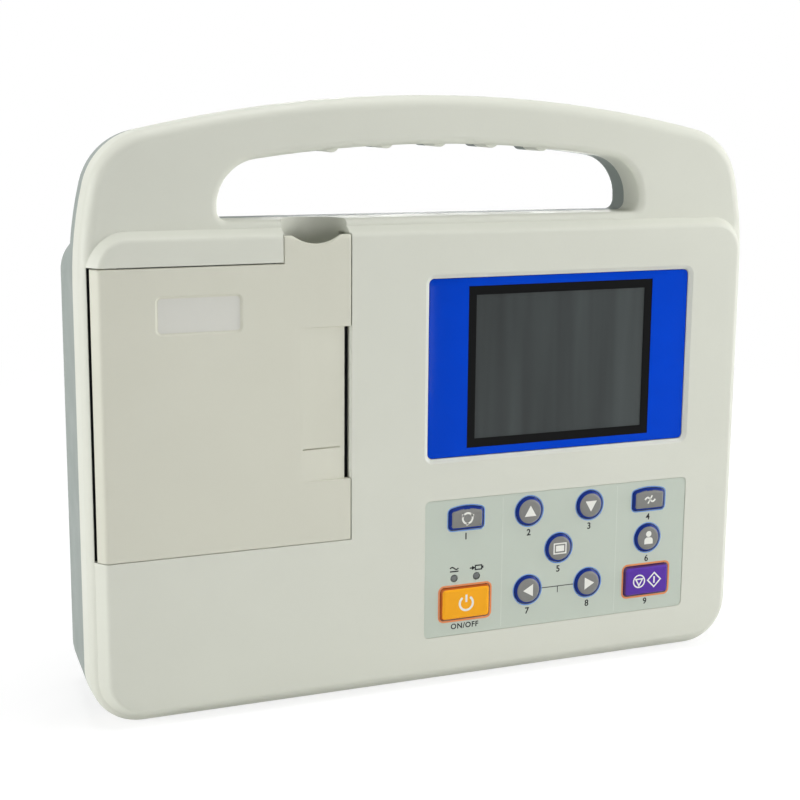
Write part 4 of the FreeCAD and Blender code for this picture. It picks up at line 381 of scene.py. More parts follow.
def make_finishes():
    """Every material, by the record's slot or by the print or coating that only the scene has."""
    made = {}
    # moulded housing: warm ivory front, a slightly yellower door and a cool grey back, all matt
    made["ivory_housing"] = moulded_abs("spark_textured_ivory_abs", "#DBDDD1", roughness=0.52)
    made["ivory_door"] = moulded_abs("spark_textured_cream_abs", "#D8D8C9", roughness=0.52)
    made["grey_housing"] = moulded_abs("spark_textured_grey_abs", "#8D9691", roughness=0.54)
    made["tray_black"] = moulded_abs("spark_textured_charcoal_abs", "#3B3E40", roughness=0.5)
    # display window: deep blue and black seen through one smooth sheet, and the grey of the unlit display
    # with a painted reflection
    made["window_blue"] = hard_coated_acrylic("back_printed_blue_acrylic", "#0044D0", specular=0.05)
    made["screen_border"] = hard_coated_acrylic("back_printed_black_acrylic", "#0B0C0D", specular=0.1)
    made["display_panel"] = unlit_polariser()
    # keypad film: velvet polyester, grey-green and without gloss, and the inks screen-printed on it
    made["overlay_film"] = fine_surface(
        "velvet_polyester_film", "#C6CFC3", roughness=0.5, specular=0.35, spot_mm=25.0, spread=0.02,
        grain_mm=0.8, depth_mm=0.01)
    made["dark_ink"] = fine_surface(
        "screen_printed_black_ink", "#15181B", roughness=0.5, specular=0.3, spot_mm=0.8, spread=0.1)
    made["pale_ink"] = fine_surface(
        "screen_printed_pale_ink", "#D0D8CD", roughness=0.5, specular=0.3, spot_mm=0.8, spread=0.03)
    made["blue_ink"] = fine_surface(
        "screen_printed_blue_ink", "#5C8FDC", roughness=0.45, specular=0.4, spot_mm=0.8, spread=0.06)
    made["orange_ink"] = fine_surface(
        "screen_printed_orange_ink", "#E98F55", roughness=0.45, specular=0.4, spot_mm=0.8, spread=0.06)
    made["blank_film"] = fine_surface(
        "printed_white_polyester", "#DADAD2", roughness=0.45, specular=0.35, spot_mm=12.0, spread=0.03,
        grain_mm=0.8, depth_mm=0.01)
    made["plate_film"] = fine_surface(
        "printed_silver_polyester", "#B4B8B6", roughness=0.42, specular=0.4, spot_mm=12.0, spread=0.03,
        grain_mm=0.8, depth_mm=0.01)
    made["white_ink"] = fine_surface(
        "screen_printed_white_ink", "#EFEFE8", roughness=0.5, specular=0.3, spot_mm=0.8, spread=0.03)
    # keys: silicone rubber with a soft sheen, the grey keys' sloping collar sprayed navy; the darker rust
    # and plum collars of the orange and purple keys are painted shade
    made["key_grey"] = fine_surface(
        "coated_grey_silicone", "#7F7F7C", roughness=0.45, specular=0.4, spot_mm=2.0, spread=0.05)
    made["key_blue"] = fine_surface(
        "sprayed_navy_silicone", "#0B2C82", roughness=0.3, specular=0.15, spot_mm=2.0, spread=0.08)
    made["key_orange"] = fine_surface(
        "coated_orange_silicone", "#FFAE12", roughness=0.42, specular=0.25, spot_mm=2.0, spread=0.04)
    # painted shade: a darker orange on the power key's sloping collar
    made["key_rust"] = fine_surface(
        "orange_silicone_painted_shade", "#BC5A1A", roughness=0.38, specular=0.25, spot_mm=2.0, spread=0.08)
    made["key_purple"] = fine_surface(
        "coated_purple_silicone", "#562AA2", roughness=0.42, specular=0.3, spot_mm=2.0, spread=0.05)
    # painted shade: a darker purple on the run key's sloping collar
    made["key_plum"] = fine_surface(
        "purple_silicone_painted_shade", "#4A1F62", roughness=0.38, specular=0.4, spot_mm=2.0, spread=0.08)
    made["silicone"] = fine_surface(
        "moulded_natural_silicone", "#C9CCC8", roughness=0.6, specular=0.4, spot_mm=6.0, spread=0.04)
    made["light_pipe"] = fine_surface(
        "moulded_smoke_acrylic", "#676C6A", roughness=0.16, specular=0.5, spot_mm=1.0, spread=0.1,
        grain_mm=0.6, depth_mm=0.01)
    # rubber: dull, dusty black; the platen is ground smooth
    made["foot_rubber"] = fine_surface(
        "moulded_black_rubber", "#2B2C2D", roughness=0.82, specular=0.25, spot_mm=2.0, spread=0.14,
        grain_mm=0.4, depth_mm=0.05)
    made["platen_rubber"] = fine_surface(
        "ground_black_rubber", "#323437", roughness=0.72, specular=0.3, spot_mm=1.2, spread=0.12,
        grain_mm=0.3, depth_mm=0.04)
    # boards and what is on them: glossy mask, dull black epoxy packages, a grey laminated cable
    made["board_green"] = circuit_board()
    made["board_parts"] = fine_surface(
        "moulded_black_epoxy", "#25272A", roughness=0.5, specular=0.4, spot_mm=1.5, spread=0.12,
        grain_mm=0.3, depth_mm=0.03)
    made["ribbon"] = fine_surface(
        "laminated_ribbon_cable", "#C9CCD0", roughness=0.42, specular=0.5, spot_mm=1.3, spread=0.08)
    # metal: grey zinc, warmer nickel, yellow brass and drawn aluminium
    made["plated_steel"] = metal("zinc_plated_steel", "#C3C5C6", roughness=0.32)
    made["connector_metal"] = metal("nickel_plated_steel", "#CDCBC4", roughness=0.26)
    made["brass_pin"] = metal("turned_brass", "#D2B26A", roughness=0.24, run=(1, 40, 40))
    made["head_aluminium"] = metal("extruded_aluminium", "#BFC2C5", roughness=0.35, run=(1, 1, 40))
    # moulded fittings: semi-matt nylon and acetal with faint flow marks
    made["inlet_black"] = fine_surface(
        "moulded_black_nylon", "#1E1F21", roughness=0.42, specular=0.5, spot_mm=4.0, spread=0.12)
    made["gear_plastic"] = fine_surface(
        "moulded_white_acetal", "#E4E2D8", roughness=0.36, specular=0.5, spot_mm=3.0, spread=0.04)
    made["head_ceramic"] = fine_surface(
        "glazed_print_ceramic", "#D8D3C2", roughness=0.16, specular=0.5, spot_mm=2.0, spread=0.06,
        grain_mm=0.6, depth_mm=0.01)
    made["battery_wrap"] = fine_surface(
        "shrunk_blue_sleeve", "#2B5FA8", roughness=0.3, specular=0.5, spot_mm=8.0, spread=0.08,
        grain_mm=2.5, depth_mm=0.12)
    made["speaker_black"] = fine_surface(
        "pressed_black_paper_cone", "#222325", roughness=0.75, specular=0.2, spot_mm=1.0, spread=0.15,
        grain_mm=0.4, depth_mm=0.06)
    # paper: white thermal chart paper, and grey-brown card that shows its fibres
    made["chart_paper"] = wound_chart_paper()
    made["core_card"] = fine_surface(
        "spiral_wound_card", "#B8AB94", roughness=0.82, specular=0.2, spot_mm=1.2, spread=0.12,
        grain_mm=0.5, depth_mm=0.06)
    return made


def select_only(piece):
    """Deselects everything and makes this piece the one that operators act on."""
    bpy.ops.object.select_all(action="DESELECT")
    piece.select_set(True)
    bpy.context.view_layer.objects.active = piece


def edit(piece, mode):
    """Opens a piece for editing with nothing selected, by edges or faces."""
    select_only(piece)
    bpy.ops.object.mode_set(mode="EDIT")
    bpy.ops.mesh.select_mode(type=mode)
    bpy.ops.mesh.select_all(action="DESELECT")


def pick(piece, kind, test):
    """Selects the faces or edges of the piece being edited that pass the test."""
    shape = bmesh.from_edit_mesh(piece.data)
    for part in getattr(shape, kind):
        part.select_set(test(part))
    bmesh.update_edit_mesh(piece.data)


def pick_front(piece, face_y):
    """Selects the edges that lie on a front face."""
    pick(piece, "edges", lambda edge: all(vert.co.y < face_y + TOUCH for vert in edge.verts))


def pick_outer(piece, face_x):
    """Selects the sharp edges that lie on the outer face of a side fitting."""
    pick(piece, "edges", lambda edge: edge.calc_face_angle(0.0) > SMOOTH and all(
        vert.co.x > face_x - TOUCH for vert in edge.verts))


def runs_along(edge, axis, longer):
    """Whether an edge reaches further than a length along one axis."""
    return abs((edge.verts[0].co - edge.verts[1].co)[axis]) > longer


def bevel(offset, segments):
    """Rounds the selected edges by a radius in millimetres."""
    bpy.ops.mesh.bevel(offset=offset * MM, segments=segments, affect="EDGES")


def done(piece):
    """Leaves edit mode and smooths all but the sharp edges."""
    bpy.ops.object.mode_set(mode="OBJECT")
    select_only(piece)
    bpy.ops.object.shade_smooth_by_angle(angle=SMOOTH)
    return piece


def place_in_mesh(piece):
    """Moves the piece's place, turn and size into its mesh."""
    select_only(piece)
    bpy.ops.object.transform_apply(location=True, rotation=True, scale=True)
    return piece


def coat(piece, *keys):
    """Gives the piece its finishes, in slot order."""
    piece.data.materials.clear()
    for key in keys:
        piece.data.materials.append(finishes[key])


def block(name, low, high):
    """A block between two corners."""
    low, high = Vector(low), Vector(high)
    bpy.ops.object.select_all(action="DESELECT")
    bpy.ops.mesh.primitive_cube_add(size=1, location=(low + high) / 2)
    piece = bpy.context.object
    piece.name = name
    piece.scale = high - low
    return place_in_mesh(piece)


def copy_of(node, name, split_x=None):
    """A merged copy of a CAD node with its flat faces joined, and split across at one place if asked."""
    piece = bpy.data.objects.new(name, nodes[node].data.copy())
    bpy.context.scene.collection.objects.link(piece)
    select_only(piece)
    bpy.ops.mesh.customdata_custom_splitnormals_clear()
    bpy.ops.object.mode_set(mode="EDIT")
    bpy.ops.mesh.select_mode(type="EDGE")
    bpy.ops.mesh.select_all(action="SELECT")
    bpy.ops.mesh.remove_doubles(threshold=0.001 * MM)
    if split_x is not None:
        bpy.ops.mesh.bisect(plane_co=(split_x, 0.0, 0.0), plane_no=(1.0, 0.0, 0.0))
        bpy.ops.mesh.mark_seam()
        bpy.ops.mesh.select_all(action="SELECT")
    bpy.ops.mesh.dissolve_limited(angle_limit=FLAT, delimit={"SEAM"})
    bpy.ops.object.mode_set(mode="OBJECT")
    return piece


def circle(radius, x=0.0, z=0.0, count=48):
    """A closed ring of points."""
    turns = [2 * math.pi * step / count for step in range(count)]
    return [(x + radius * math.cos(turn), z + radius * math.sin(turn)) for turn in turns]


def corners(count, radius, start_deg, x=0.0, z=0.0):
    """The corners of a regular shape."""
    turns = [math.radians(start_deg + 360 * step / count) for step in range(count)]
    return [(x + radius * math.cos(turn), z + radius * math.sin(turn)) for turn in turns]


def bar(width, height, x=0.0, z=0.0):
    """A rectangle about a middle."""
    return [(x - width / 2, z - height / 2), (x + width / 2, z - height / 2),
            (x + width / 2, z + height / 2), (x - width / 2, z + height / 2)]


def band(path, width):
    """A line of even width along a path of points."""
    left, right = [], []
    for step, (x, z) in enumerate(path):
        before = path[max(step - 1, 0)]
        after = path[min(step + 1, len(path) - 1)]
        run = Vector((after[0] - before[0], after[1] - before[1])).normalized() * width / 2
        left.append((x - run.y, z + run.x))
        right.append((x + run.y, z - run.x))
    return left + right[::-1]


def arc(radius, start_deg, end_deg, x=0.0, z=0.0, count=32):
    """Points along part of a circle."""
    turns = [math.radians(start_deg + (end_deg - start_deg) * step / count) for step in range(count + 1)]
    return [(x + radius * math.cos(turn), z + radius * math.sin(turn)) for turn in turns]


def wave(width, height, x=0.0, z=0.0, count=24):
    """Points along one turn of a sine."""
    shares = [step / count for step in range(count + 1)]
    return [(x + (share - 0.5) * width, z + height / 2 * math.sin(2 * math.pi * share)) for share in shares]


def ink(name, outlines, x, z, face_y, finish_key, body="housing", turn=0.0):
    """Flat printing from closed outlines in millimetres, standing just proud of the face it is on."""
    flat = bpy.data.curves.new(name, "CURVE")
    flat.dimensions = "2D"
    flat.fill_mode = "BOTH"
    flat.extrude = INK_HALF * MM
    for outline in outlines:
        line = flat.splines.new("POLY")
        line.points.add(len(outline) - 1)
        for point, (across, up) in zip(line.points, outline):
            point.co = (across * MM, up * MM, 0.0, 1.0)
        line.use_cyclic_u = True
    piece = bpy.data.objects.new(name, flat)
    bpy.context.scene.collection.objects.link(piece)
    return lay_ink(piece, x, z, face_y, finish_key, body, turn)


def legend(name, words, size, x, z, face_y, finish_key):
    """A plain number or word, middled on its place."""
    bpy.ops.object.select_all(action="DESELECT")
    bpy.ops.object.text_add()
    piece = bpy.context.object
    piece.name = name
    piece.data.body = words
    piece.data.size = size * MM
    piece.data.offset = LETTER_WEIGHT * MM
    piece.data.space_character = LETTER_SPACE
    piece.data.align_x = "CENTER"
    piece.data.align_y = "CENTER"
    piece.data.extrude = INK_HALF * MM
    return lay_ink(piece, x, z, face_y, finish_key, "housing", 0.0)


def lay_ink(piece, x, z, face_y, finish_key, body, turn):
    """Makes flat printing a mesh, stands it up, turns it to its face and lays it there."""
    select_only(piece)
    bpy.ops.object.convert(target="MESH")
    piece = bpy.context.object
    piece.rotation_euler = (math.pi / 2, 0.0, turn)
    piece.location = (x, face_y, z)
    place_in_mesh(piece)
    coat(piece, finish_key)
    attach(piece, body)
    return piece


def make_window():
    """The display window: a bevelled acrylic plate, blue behind its edge and black around the picture."""
    low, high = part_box("display_window")
    middle = (low + high) / 2
    window = block("display_lens", low, high)
    edit(window, "EDGE")
    pick(window, "edges", lambda edge: runs_along(edge, Y, TOUCH))
    bevel(WINDOW_CORNER, segments=6)
    pick_front(window, low.y)
    bevel(WINDOW_EDGE, segments=3)
    for width, height in ((BORDER_W, BORDER_H), (PICTURE_W, PICTURE_H)):
        for side in (-1, 1):
            for axis, half in ((X, width / 2), (Z, height / 2)):
                place = Vector(middle)
                place[axis] += side * half * MM
                normal = Vector((0.0, 0.0, 0.0))
                normal[axis] = 1.0
                bpy.ops.mesh.select_all(action="SELECT")
                bpy.ops.mesh.bisect(plane_co=place, plane_no=normal)

    def within(spot, width, height, spare):
        return abs(spot.x) < width / 2 * MM + spare and abs(spot.z) < height / 2 * MM + spare

    bpy.ops.mesh.select_mode(type="FACE")
    for width, height, sink in ((BORDER_W, BORDER_H, BORDER_SINK), (PICTURE_W, PICTURE_H, PICTURE_SINK)):
        pick(window, "faces", lambda face: face.normal.y < -FACING and within(
            face.calc_center_median() - middle, width, height, 0.0))
        bpy.ops.mesh.extrude_region_move(TRANSFORM_OT_translate={"value": (0.0, sink * MM, 0.0)})
    done(window)
    stand_in(window, "display_window", "window_blue", "screen_border", "display_panel")
    for face in window.data.polygons:
        spot = face.center - middle
        if face.center.y > low.y + PRINT_DEEP * MM:
            continue
        if within(spot, PICTURE_W, PICTURE_H, -TOUCH):
            face.material_index = 2
        elif within(spot, BORDER_W, BORDER_H, TOUCH):
            face.material_index = 1


def make_key(node, cap, collar):
    """A key with a rounded face edge, a coloured cap and a coloured sloping collar."""
    face_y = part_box(node)[0].y
    key = copy_of(node, node + "_dressed")
    edit(key, "EDGE")
    pick_front(key, face_y)
    bevel(KEY_ROUNDING, segments=4)
    done(key)
    stand_in(key, node, cap, collar, body=node + "_body")
    for face in key.data.polygons:
        if face.center.y > face_y + KEY_CAP_DEEP * MM:
            face.material_index = 1


def key_outline(node, grow):
    """A key's outline at the film in millimetres about its middle, made larger all round."""
    low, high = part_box(node)
    width = (high.x - low.x) / MM + 2 * (grow - KEY_FLANGE)
    height = (high.z - low.z) / MM + 2 * (grow - KEY_FLANGE)
    if node in ("key_power", "key_run"):
        return rounded(width, height, BIG_CORNER + grow)
    if node in ("key_mode", "key_filter"):
        return arched(width / 2, height / 2, ARCH_CORNER + grow, ARCH_TOP_R + grow)
    return circle(width / 2)


def arched(half, rise, corner, top_r):
    """A flat foot, upright sides and a shallow arch on top, with round corners."""
    arch_z = rise - top_r
    side = half - corner
    end_z = arch_z + math.sqrt((top_r - corner) ** 2 - side ** 2)
    lean = math.degrees(math.atan2(side, end_z - arch_z))
    points = arc(corner, 0, 90 - lean, side, end_z, CORNER_STEPS)
    points += arc(top_r, 90 - lean, 90 + lean, 0.0, arch_z, ARCH_STEPS)
    points += arc(corner, 90 + lean, 180, -side, end_z, CORNER_STEPS)
    points += arc(corner, 180, 270, -side, corner - rise, CORNER_STEPS)
    points += arc(corner, 270, 360, side, corner - rise, CORNER_STEPS)
    return points


def rounded(width, height, radius):
    """A rectangle with round corners about the middle."""
    points = []
    for step, (side, rise) in enumerate(((1, 1), (-1, 1), (-1, -1), (1, -1))):
        x, z = side * (width / 2 - radius), rise * (height / 2 - radius)
        points += arc(radius, 90 * step, 90 * step + 90, x, z, CORNER_STEPS)
    return points


def arrow(way_deg):
    """A triangle that points one way, set back so that it looks middled on its key."""
    turn = math.radians(way_deg)
    return [[corners(3, ARROW_R, way_deg, -ARROW_SHIFT * math.cos(turn), -ARROW_SHIFT * math.sin(turn))]]


def key_icons():
    """The signs on the keys, as groups of closed outlines in millimetres."""
    cycle = [[circle(2.35), circle(1.6)]]
    for start_deg in (30, 150, 270):
        turn = math.radians(start_deg)
        cycle.append([corners(3, 0.85, start_deg + 90, 2.2 * math.cos(turn), 2.2 * math.sin(turn))])
    screen = [[bar(5.6, 4.4), bar(4.6, 3.4)], [bar(3.5, 2.3)]]
    left_shoulder = arc(1.3, 180, 90, -0.6, -0.9, count=6)
    right_shoulder = arc(1.3, 90, 0, 0.6, -0.9, count=6)
    person = [[circle(1.2, 0.0, 1.75)], [[(-1.9, -2.3)] + left_shoulder + right_shoulder + [(1.9, -2.3)]]]
    struck_wave = [[band(wave(4.6, 1.7), 0.7)], [band([(-0.9, -1.6), (0.9, 1.6)], 0.6)]]
    power = [[band(arc(2.7, 125, 415), 0.85)], [bar(0.85, 2.9, 0.0, 1.9)]]
    ringed = [[circle(2.75, -3.6), circle(2.2, -3.6)],
              [corners(3, 2.3, -90, -3.6), corners(3, 1.2, -90, -3.6)]]
    diamond = [[corners(4, 3.3, 0, 3.2), corners(4, 2.5, 0, 3.2)], [bar(0.7, 2.7, 3.2)]]
    return {
        "key_mode": cycle,
        "key_up": arrow(90),
        "key_down": arrow(-90),
        "key_filter": struck_wave,
        "key_menu": screen,
        "key_patient": person,
        "key_left": arrow(180),
        "key_right": arrow(0),
        "key_run": ringed + diamond,
        "key_power": power,
    }


def make_keypad():
    """Keys, their signs and the printing on the keypad film."""
    low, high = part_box("keypad_overlay")
    film_y = low.y
    # the rust and plum collars stand for painted shade on the slopes of the power and run keys
    finishes_of = {"key_power": ("key_orange", "key_rust", "orange_ink"),
                   "key_run": ("key_purple", "key_plum", "orange_ink")}
    for step, (node, groups) in enumerate(key_icons().items()):
        cap, collar, ring = finishes_of.get(node, ("key_grey", "key_blue", "blue_ink"))
        make_key(node, cap, collar)
        key_low, key_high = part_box(node)
        x, z = (key_low.x + key_high.x) / 2, (key_low.z + key_high.z) / 2
        for count, outlines in enumerate(groups):
            ink("%s_sign_%d" % (node, count), outlines, x, z, key_low.y, "white_ink", node + "_body")
        wide = BIG_RING_W if ring == "orange_ink" else RING_W
        outlines = [key_outline(node, RING_IN + wide), key_outline(node, RING_IN)]
        ink(node + "_ring", outlines, x, z, film_y, ring)
        words, size = str(step + 1), LEGEND_SIZE
        if node == "key_power":
            words, size = "ON/OFF", WORD_SIZE
        below = key_low.z + (KEY_FLANGE - LEGEND_BELOW) * MM
        legend(node + "_legend", words, size, x, below, film_y, "dark_ink")
    for step, line_x in enumerate(ZONE_LINES):
        tall = (high.z - low.z) / MM - ZONE_LINE_SHORT
        ink("zone_line_%d" % step, [bar(ZONE_LINE_W, tall)], line_x * MM, (low.z + high.z) / 2, film_y,
            "pale_ink")
    left_low, left_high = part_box("key_left")
    right_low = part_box("key_right")[0]
    clear = KEY_FLANGE - RING_IN - RING_W
    from_x = left_high.x / MM - clear
    to_x = right_low.x / MM + clear
    bracket = [bar(to_x - from_x, BRACKET_W)]
    drop = [bar(BRACKET_W, BRACKET_DROP, 0.0, -(BRACKET_DROP + BRACKET_W) / 2)]
    for count, outlines in enumerate((bracket, drop)):
        ink("bracket_%d" % count, outlines, (from_x + to_x) / 2 * MM, (left_low.z + left_high.z) / 2,
            film_y, "dark_ink")
    make_lights(film_y)


def make_lights(film_y):
    """Two domed light pipes in the film, each with a sign above it: mains and battery."""
    low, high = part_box("indicator_lights")
    domes = copy_of("indicator_lights", "light_domes")
    edit(domes, "EDGE")
    pick_front(domes, low.y)
    bevel(LIGHT_DOME, segments=6)
    done(domes)
    stand_in(domes, "indicator_lights", "light_pipe")
    radius = (high.z - low.z) / 2
    mains = [[band(wave(3.5, 0.9, 0.0, 0.6), 0.5)], [bar(3.5, 0.5, 0.0, -0.6)]]
    battery = [[bar(3.1, 2.1, 0.8), bar(2.1, 1.1, 0.8)], [bar(0.5, 1.0, 2.6)], [bar(1.4, 0.5, -2.1)],
               [corners(3, 1.0, 0, -1.4)]]
    for name, groups, x in (("mains", mains, low.x + radius), ("battery", battery, high.x - radius)):
        for count, outlines in enumerate(groups):
            ink("%s_mark_%d" % (name, count), outlines, x, (low.z + high.z) / 2 + SIGN_UP * MM, film_y,
                "dark_ink")


def cut(piece, tool):
    """Takes the tool's shape out of the piece."""
    select_only(piece)
    hole = piece.modifiers.new("cut", "BOOLEAN")
    hole.object = tool
    hole.operation = "DIFFERENCE"
    hole.solver = "EXACT"
    bpy.ops.object.modifier_apply(modifier=hole.name)
    bpy.data.objects.remove(tool)


def stand_in(piece, node, *keys, body="housing"):
    """Coats a dressed piece and lets it stand for a node."""
    coat(piece, *keys)
    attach(piece, body)
    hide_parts(node)


def make_door():
    """The paper door with rounded front edges, hung a little low, and a blank film in its badge recess."""
    door = copy_of("paper_door", "door_panel", BADGE_X * MM)

    def at_outline(edge):
        front = any(face.normal.y < -HALF_FACING for face in edge.link_faces)
        wall = any(abs(face.normal.y) < SIDEWAYS for face in edge.link_faces)
        return edge.is_convex and front and wall

    edit(door, "EDGE")
    bpy.ops.mesh.select_all(action="SELECT")
    bpy.ops.transform.translate(value=(0.0, 0.0, -DOOR_SAG * MM))
    pick(door, "edges", at_outline)
    bevel(DOOR_ROUNDING, segments=3)
    done(door)
    # flat faces keep their flat shading beside the roundings
    for face in door.data.polygons:
        if abs(face.normal.y) > FLAT_FACE:
            face.use_smooth = False
    stand_in(door, "paper_door", "ivory_door", body="paper_door")
    floor_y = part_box("paper_door")[0].y + BADGE_DEEP * MM
    ink("badge_blank", [rounded(BADGE_W, BADGE_H, BADGE_R)], BADGE_X * MM,
        (BADGE_Z - DOOR_SAG) * MM, floor_y, "blank_film", "paper_door")


def make_lead_socket():
    """The 15-way lead socket: rounded flange, shell with a rolled rim, black face and gilt contacts."""
    low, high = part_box("lead_connector")
    middle = (low + high) / 2
    socket = copy_of("lead_connector", "lead_socket")
    flange_x = high.x - SHELL_RISE * MM

    def along_x(edge):
        return runs_along(edge, X, CORNER_LONG * MM)

    def at_contacts(spot):
        return abs(spot.y) < CONTACT_HALF_Y * MM and abs(spot.z) < CONTACT_HALF_Z * MM

    def at_flange_corner(edge):
        outer = all(abs(vert.co.z - middle.z) > high.z - middle.z - NEAR for vert in edge.verts)
        return outer and along_x(edge)

    def at_shell_corner(edge):
        proud = all(vert.co.x > flange_x - NEAR for vert in edge.verts)
        return proud and along_x(edge) and abs(edge.verts[0].co.y - middle.y) > CONTACT_HALF_Y * MM

    def at_rim(edge):
        spot = (edge.verts[0].co + edge.verts[1].co) / 2 - middle
        front = all(vert.co.x > high.x - TOUCH for vert in edge.verts)
        wall = any(abs(face.normal.x) < HALF_FACING for face in edge.link_faces)
        return front and wall and not at_contacts(spot)

    edit(socket, "EDGE")
    pick(socket, "edges", at_flange_corner)
    bevel(FLANGE_CORNER, segments=5)
    pick(socket, "edges", at_shell_corner)
    bevel(SHELL_CORNER, segments=5)
    pick(socket, "edges", at_rim)
    bevel(SHELL_RIM, segments=2)
    bpy.ops.mesh.select_mode(type="FACE")
    pick(socket, "faces", lambda face: face.normal.x > FACING and (
        face.calc_center_median().x > high.x - TOUCH))
    bpy.ops.transform.translate(value=(-SHELL_RIM * MM, 0.0, 0.0))
    done(socket)
    stand_in(socket, "lead_connector", "connector_metal", "inlet_black", "brass_pin")
    rim_x = high.x - (SHELL_RIM + RIM_SPARE) * MM
    for face in socket.data.polygons:
        if face.normal.x > FACING and face.center.x > rim_x:
            face.material_index = 1
        elif face.center.x > flange_x and at_contacts(face.center - middle):
            face.material_index = 2


def bar_along_x(sides, radius, length, place):
    """A round or many-sided bar along x, about its middle."""
    bpy.ops.object.select_all(action="DESELECT")
    bpy.ops.mesh.primitive_cylinder_add(vertices=sides, radius=radius, depth=length, location=place,
                                        rotation=(0.0, math.pi / 2, 0.0))
    return place_in_mesh(bpy.context.object)


def make_jack_screws():
    """Hexagonal jack screws beside the lead socket, with chamfered heads and round bores."""
    low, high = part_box("jack_screws")
    radius = (high.y - low.y) / 2
    y, z = (low.y + high.y) / 2, low.z + radius
    screw = bar_along_x(JACK_SIDES, radius, JACK_RISE * MM, (high.x - JACK_RISE / 2 * MM, y, z))
    edit(screw, "EDGE")
    pick_outer(screw, high.x)
    bevel(JACK_CHAMFER, segments=2)
    bpy.ops.object.mode_set(mode="OBJECT")
    bore = bar_along_x(JACK_BORE_SIDES, JACK_BORE_R * MM, 2 * JACK_BORE_DEEP * MM, (high.x, y, z))
    cut(screw, bore)
    other = bpy.data.objects.new("jack_screw_top", screw.data.copy())
    bpy.context.scene.collection.objects.link(other)
    other.location.z = high.z - low.z - 2 * radius
    place_in_mesh(other)
    screw.name = "jack_screw_heads"
    select_only(screw)
    other.select_set(True)
    bpy.ops.object.join()
    bpy.ops.object.shade_smooth_by_angle(angle=SMOOTH)
    stand_in(screw, "jack_screws", "plated_steel")


def soften(node, name, offset, key):
    """A copy of a side fitting with its outer edges rounded."""
    piece = copy_of(node, name)
    edit(piece, "EDGE")
    pick_outer(piece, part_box(node)[1].x)
    bevel(offset, segments=3)
    done(piece)
    stand_in(piece, node, key)


def side_signs():
    """The signs beside the side fittings, as groups of closed outlines in millimetres."""
    earth = [[bar(0.6, 3.2, 0.0, 1.9)], [corners(3, 2.6, -90, 0.0, -0.9), corners(3, 1.4, -90, 0.0, -0.9)]]
    heart = []
    # the usual heart curve of sines and cosines
    for step in range(HEART_POINTS):
        turn = 2 * math.pi * step / HEART_POINTS
        lobe = 13 * math.cos(turn) - 5 * math.cos(2 * turn) - 2 * math.cos(3 * turn) - math.cos(4 * turn)
        heart.append((HEART_SCALE * 16 * math.sin(turn) ** 3, HEART_SCALE * lobe))
    return {"mains_inlet": [[band(wave(6.0, 2.2), 0.7)]], "earth_pin": earth, "lead_connector": [[heart]]}


def make_side_fittings():
    """The dressed fittings in the recess on the right side, and a printed sign above each."""
    make_lead_socket()
    make_jack_screws()
    soften("mains_inlet", "inlet_body", INLET_ROUNDING, "inlet_black")
    soften("earth_pin", "earth_post", PIN_ROUNDING, "brass_pin")
    floor_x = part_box("rear_shell")[1].x - RECESS_DEEP * MM
    for node, groups in side_signs().items():
        low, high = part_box(node)
        y, z = (low.y + high.y) / 2, SIDE_SIGN_Z[node] * MM
        for count, outlines in enumerate(groups):
            ink("%s_sign_%d" % (node, count), outlines, floor_x, z, y, "white_ink", turn=math.pi / 2)


def make_back():
    """Cross recesses in the battery cover's screws, and a bare rating plate with a printed border."""
    low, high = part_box("cover_screws")
    screws = copy_of("cover_screws", "cover_screw_heads")
    radius = (high.z - low.z) / 2
    for x in (low.x + radius, high.x - radius):
        for wide, tall in ((CROSS_L, CROSS_W), (CROSS_W, CROSS_L)):
            half = Vector((wide / 2, CROSS_DEEP, tall / 2)) * MM
            place = Vector((x, high.y, (low.z + high.z) / 2))
            cut(screws, block("cross_tool", place - half, place + half))
    select_only(screws)
    bpy.ops.object.shade_smooth_by_angle(angle=SMOOTH)
    stand_in(screws, "cover_screws", "plated_steel")
    back_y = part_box("battery_cover")[1].y
    half = Vector((PLATE_W / 2, PLATE_T, PLATE_H / 2)) * MM
    place = Vector((PLATE_X * MM, back_y, PLATE_Z * MM))
    plate = block("rating_plate", place - half, place + half)
    edit(plate, "EDGE")
    pick(plate, "edges", lambda edge: runs_along(edge, Y, TOUCH))
    bevel(PLATE_CORNER, segments=6)
    pick(plate, "edges", lambda edge: all(vert.co.y > back_y for vert in edge.verts))
    bevel(PLATE_T / 2, segments=2)
    done(plate)
    coat(plate, "plate_film")
    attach(plate, "housing")
    edge_in = rounded(PLATE_W - 2 * PLATE_BORDER, PLATE_H - 2 * PLATE_BORDER, PLATE_CORNER)
    line_in = 2 * (PLATE_BORDER + PLATE_LINE)
    line = rounded(PLATE_W - line_in, PLATE_H - line_in, PLATE_CORNER - PLATE_LINE)
    ink("plate_border", [edge_in, line], place.x, place.z, back_y + PLATE_T * MM, "dark_ink", turn=math.pi)


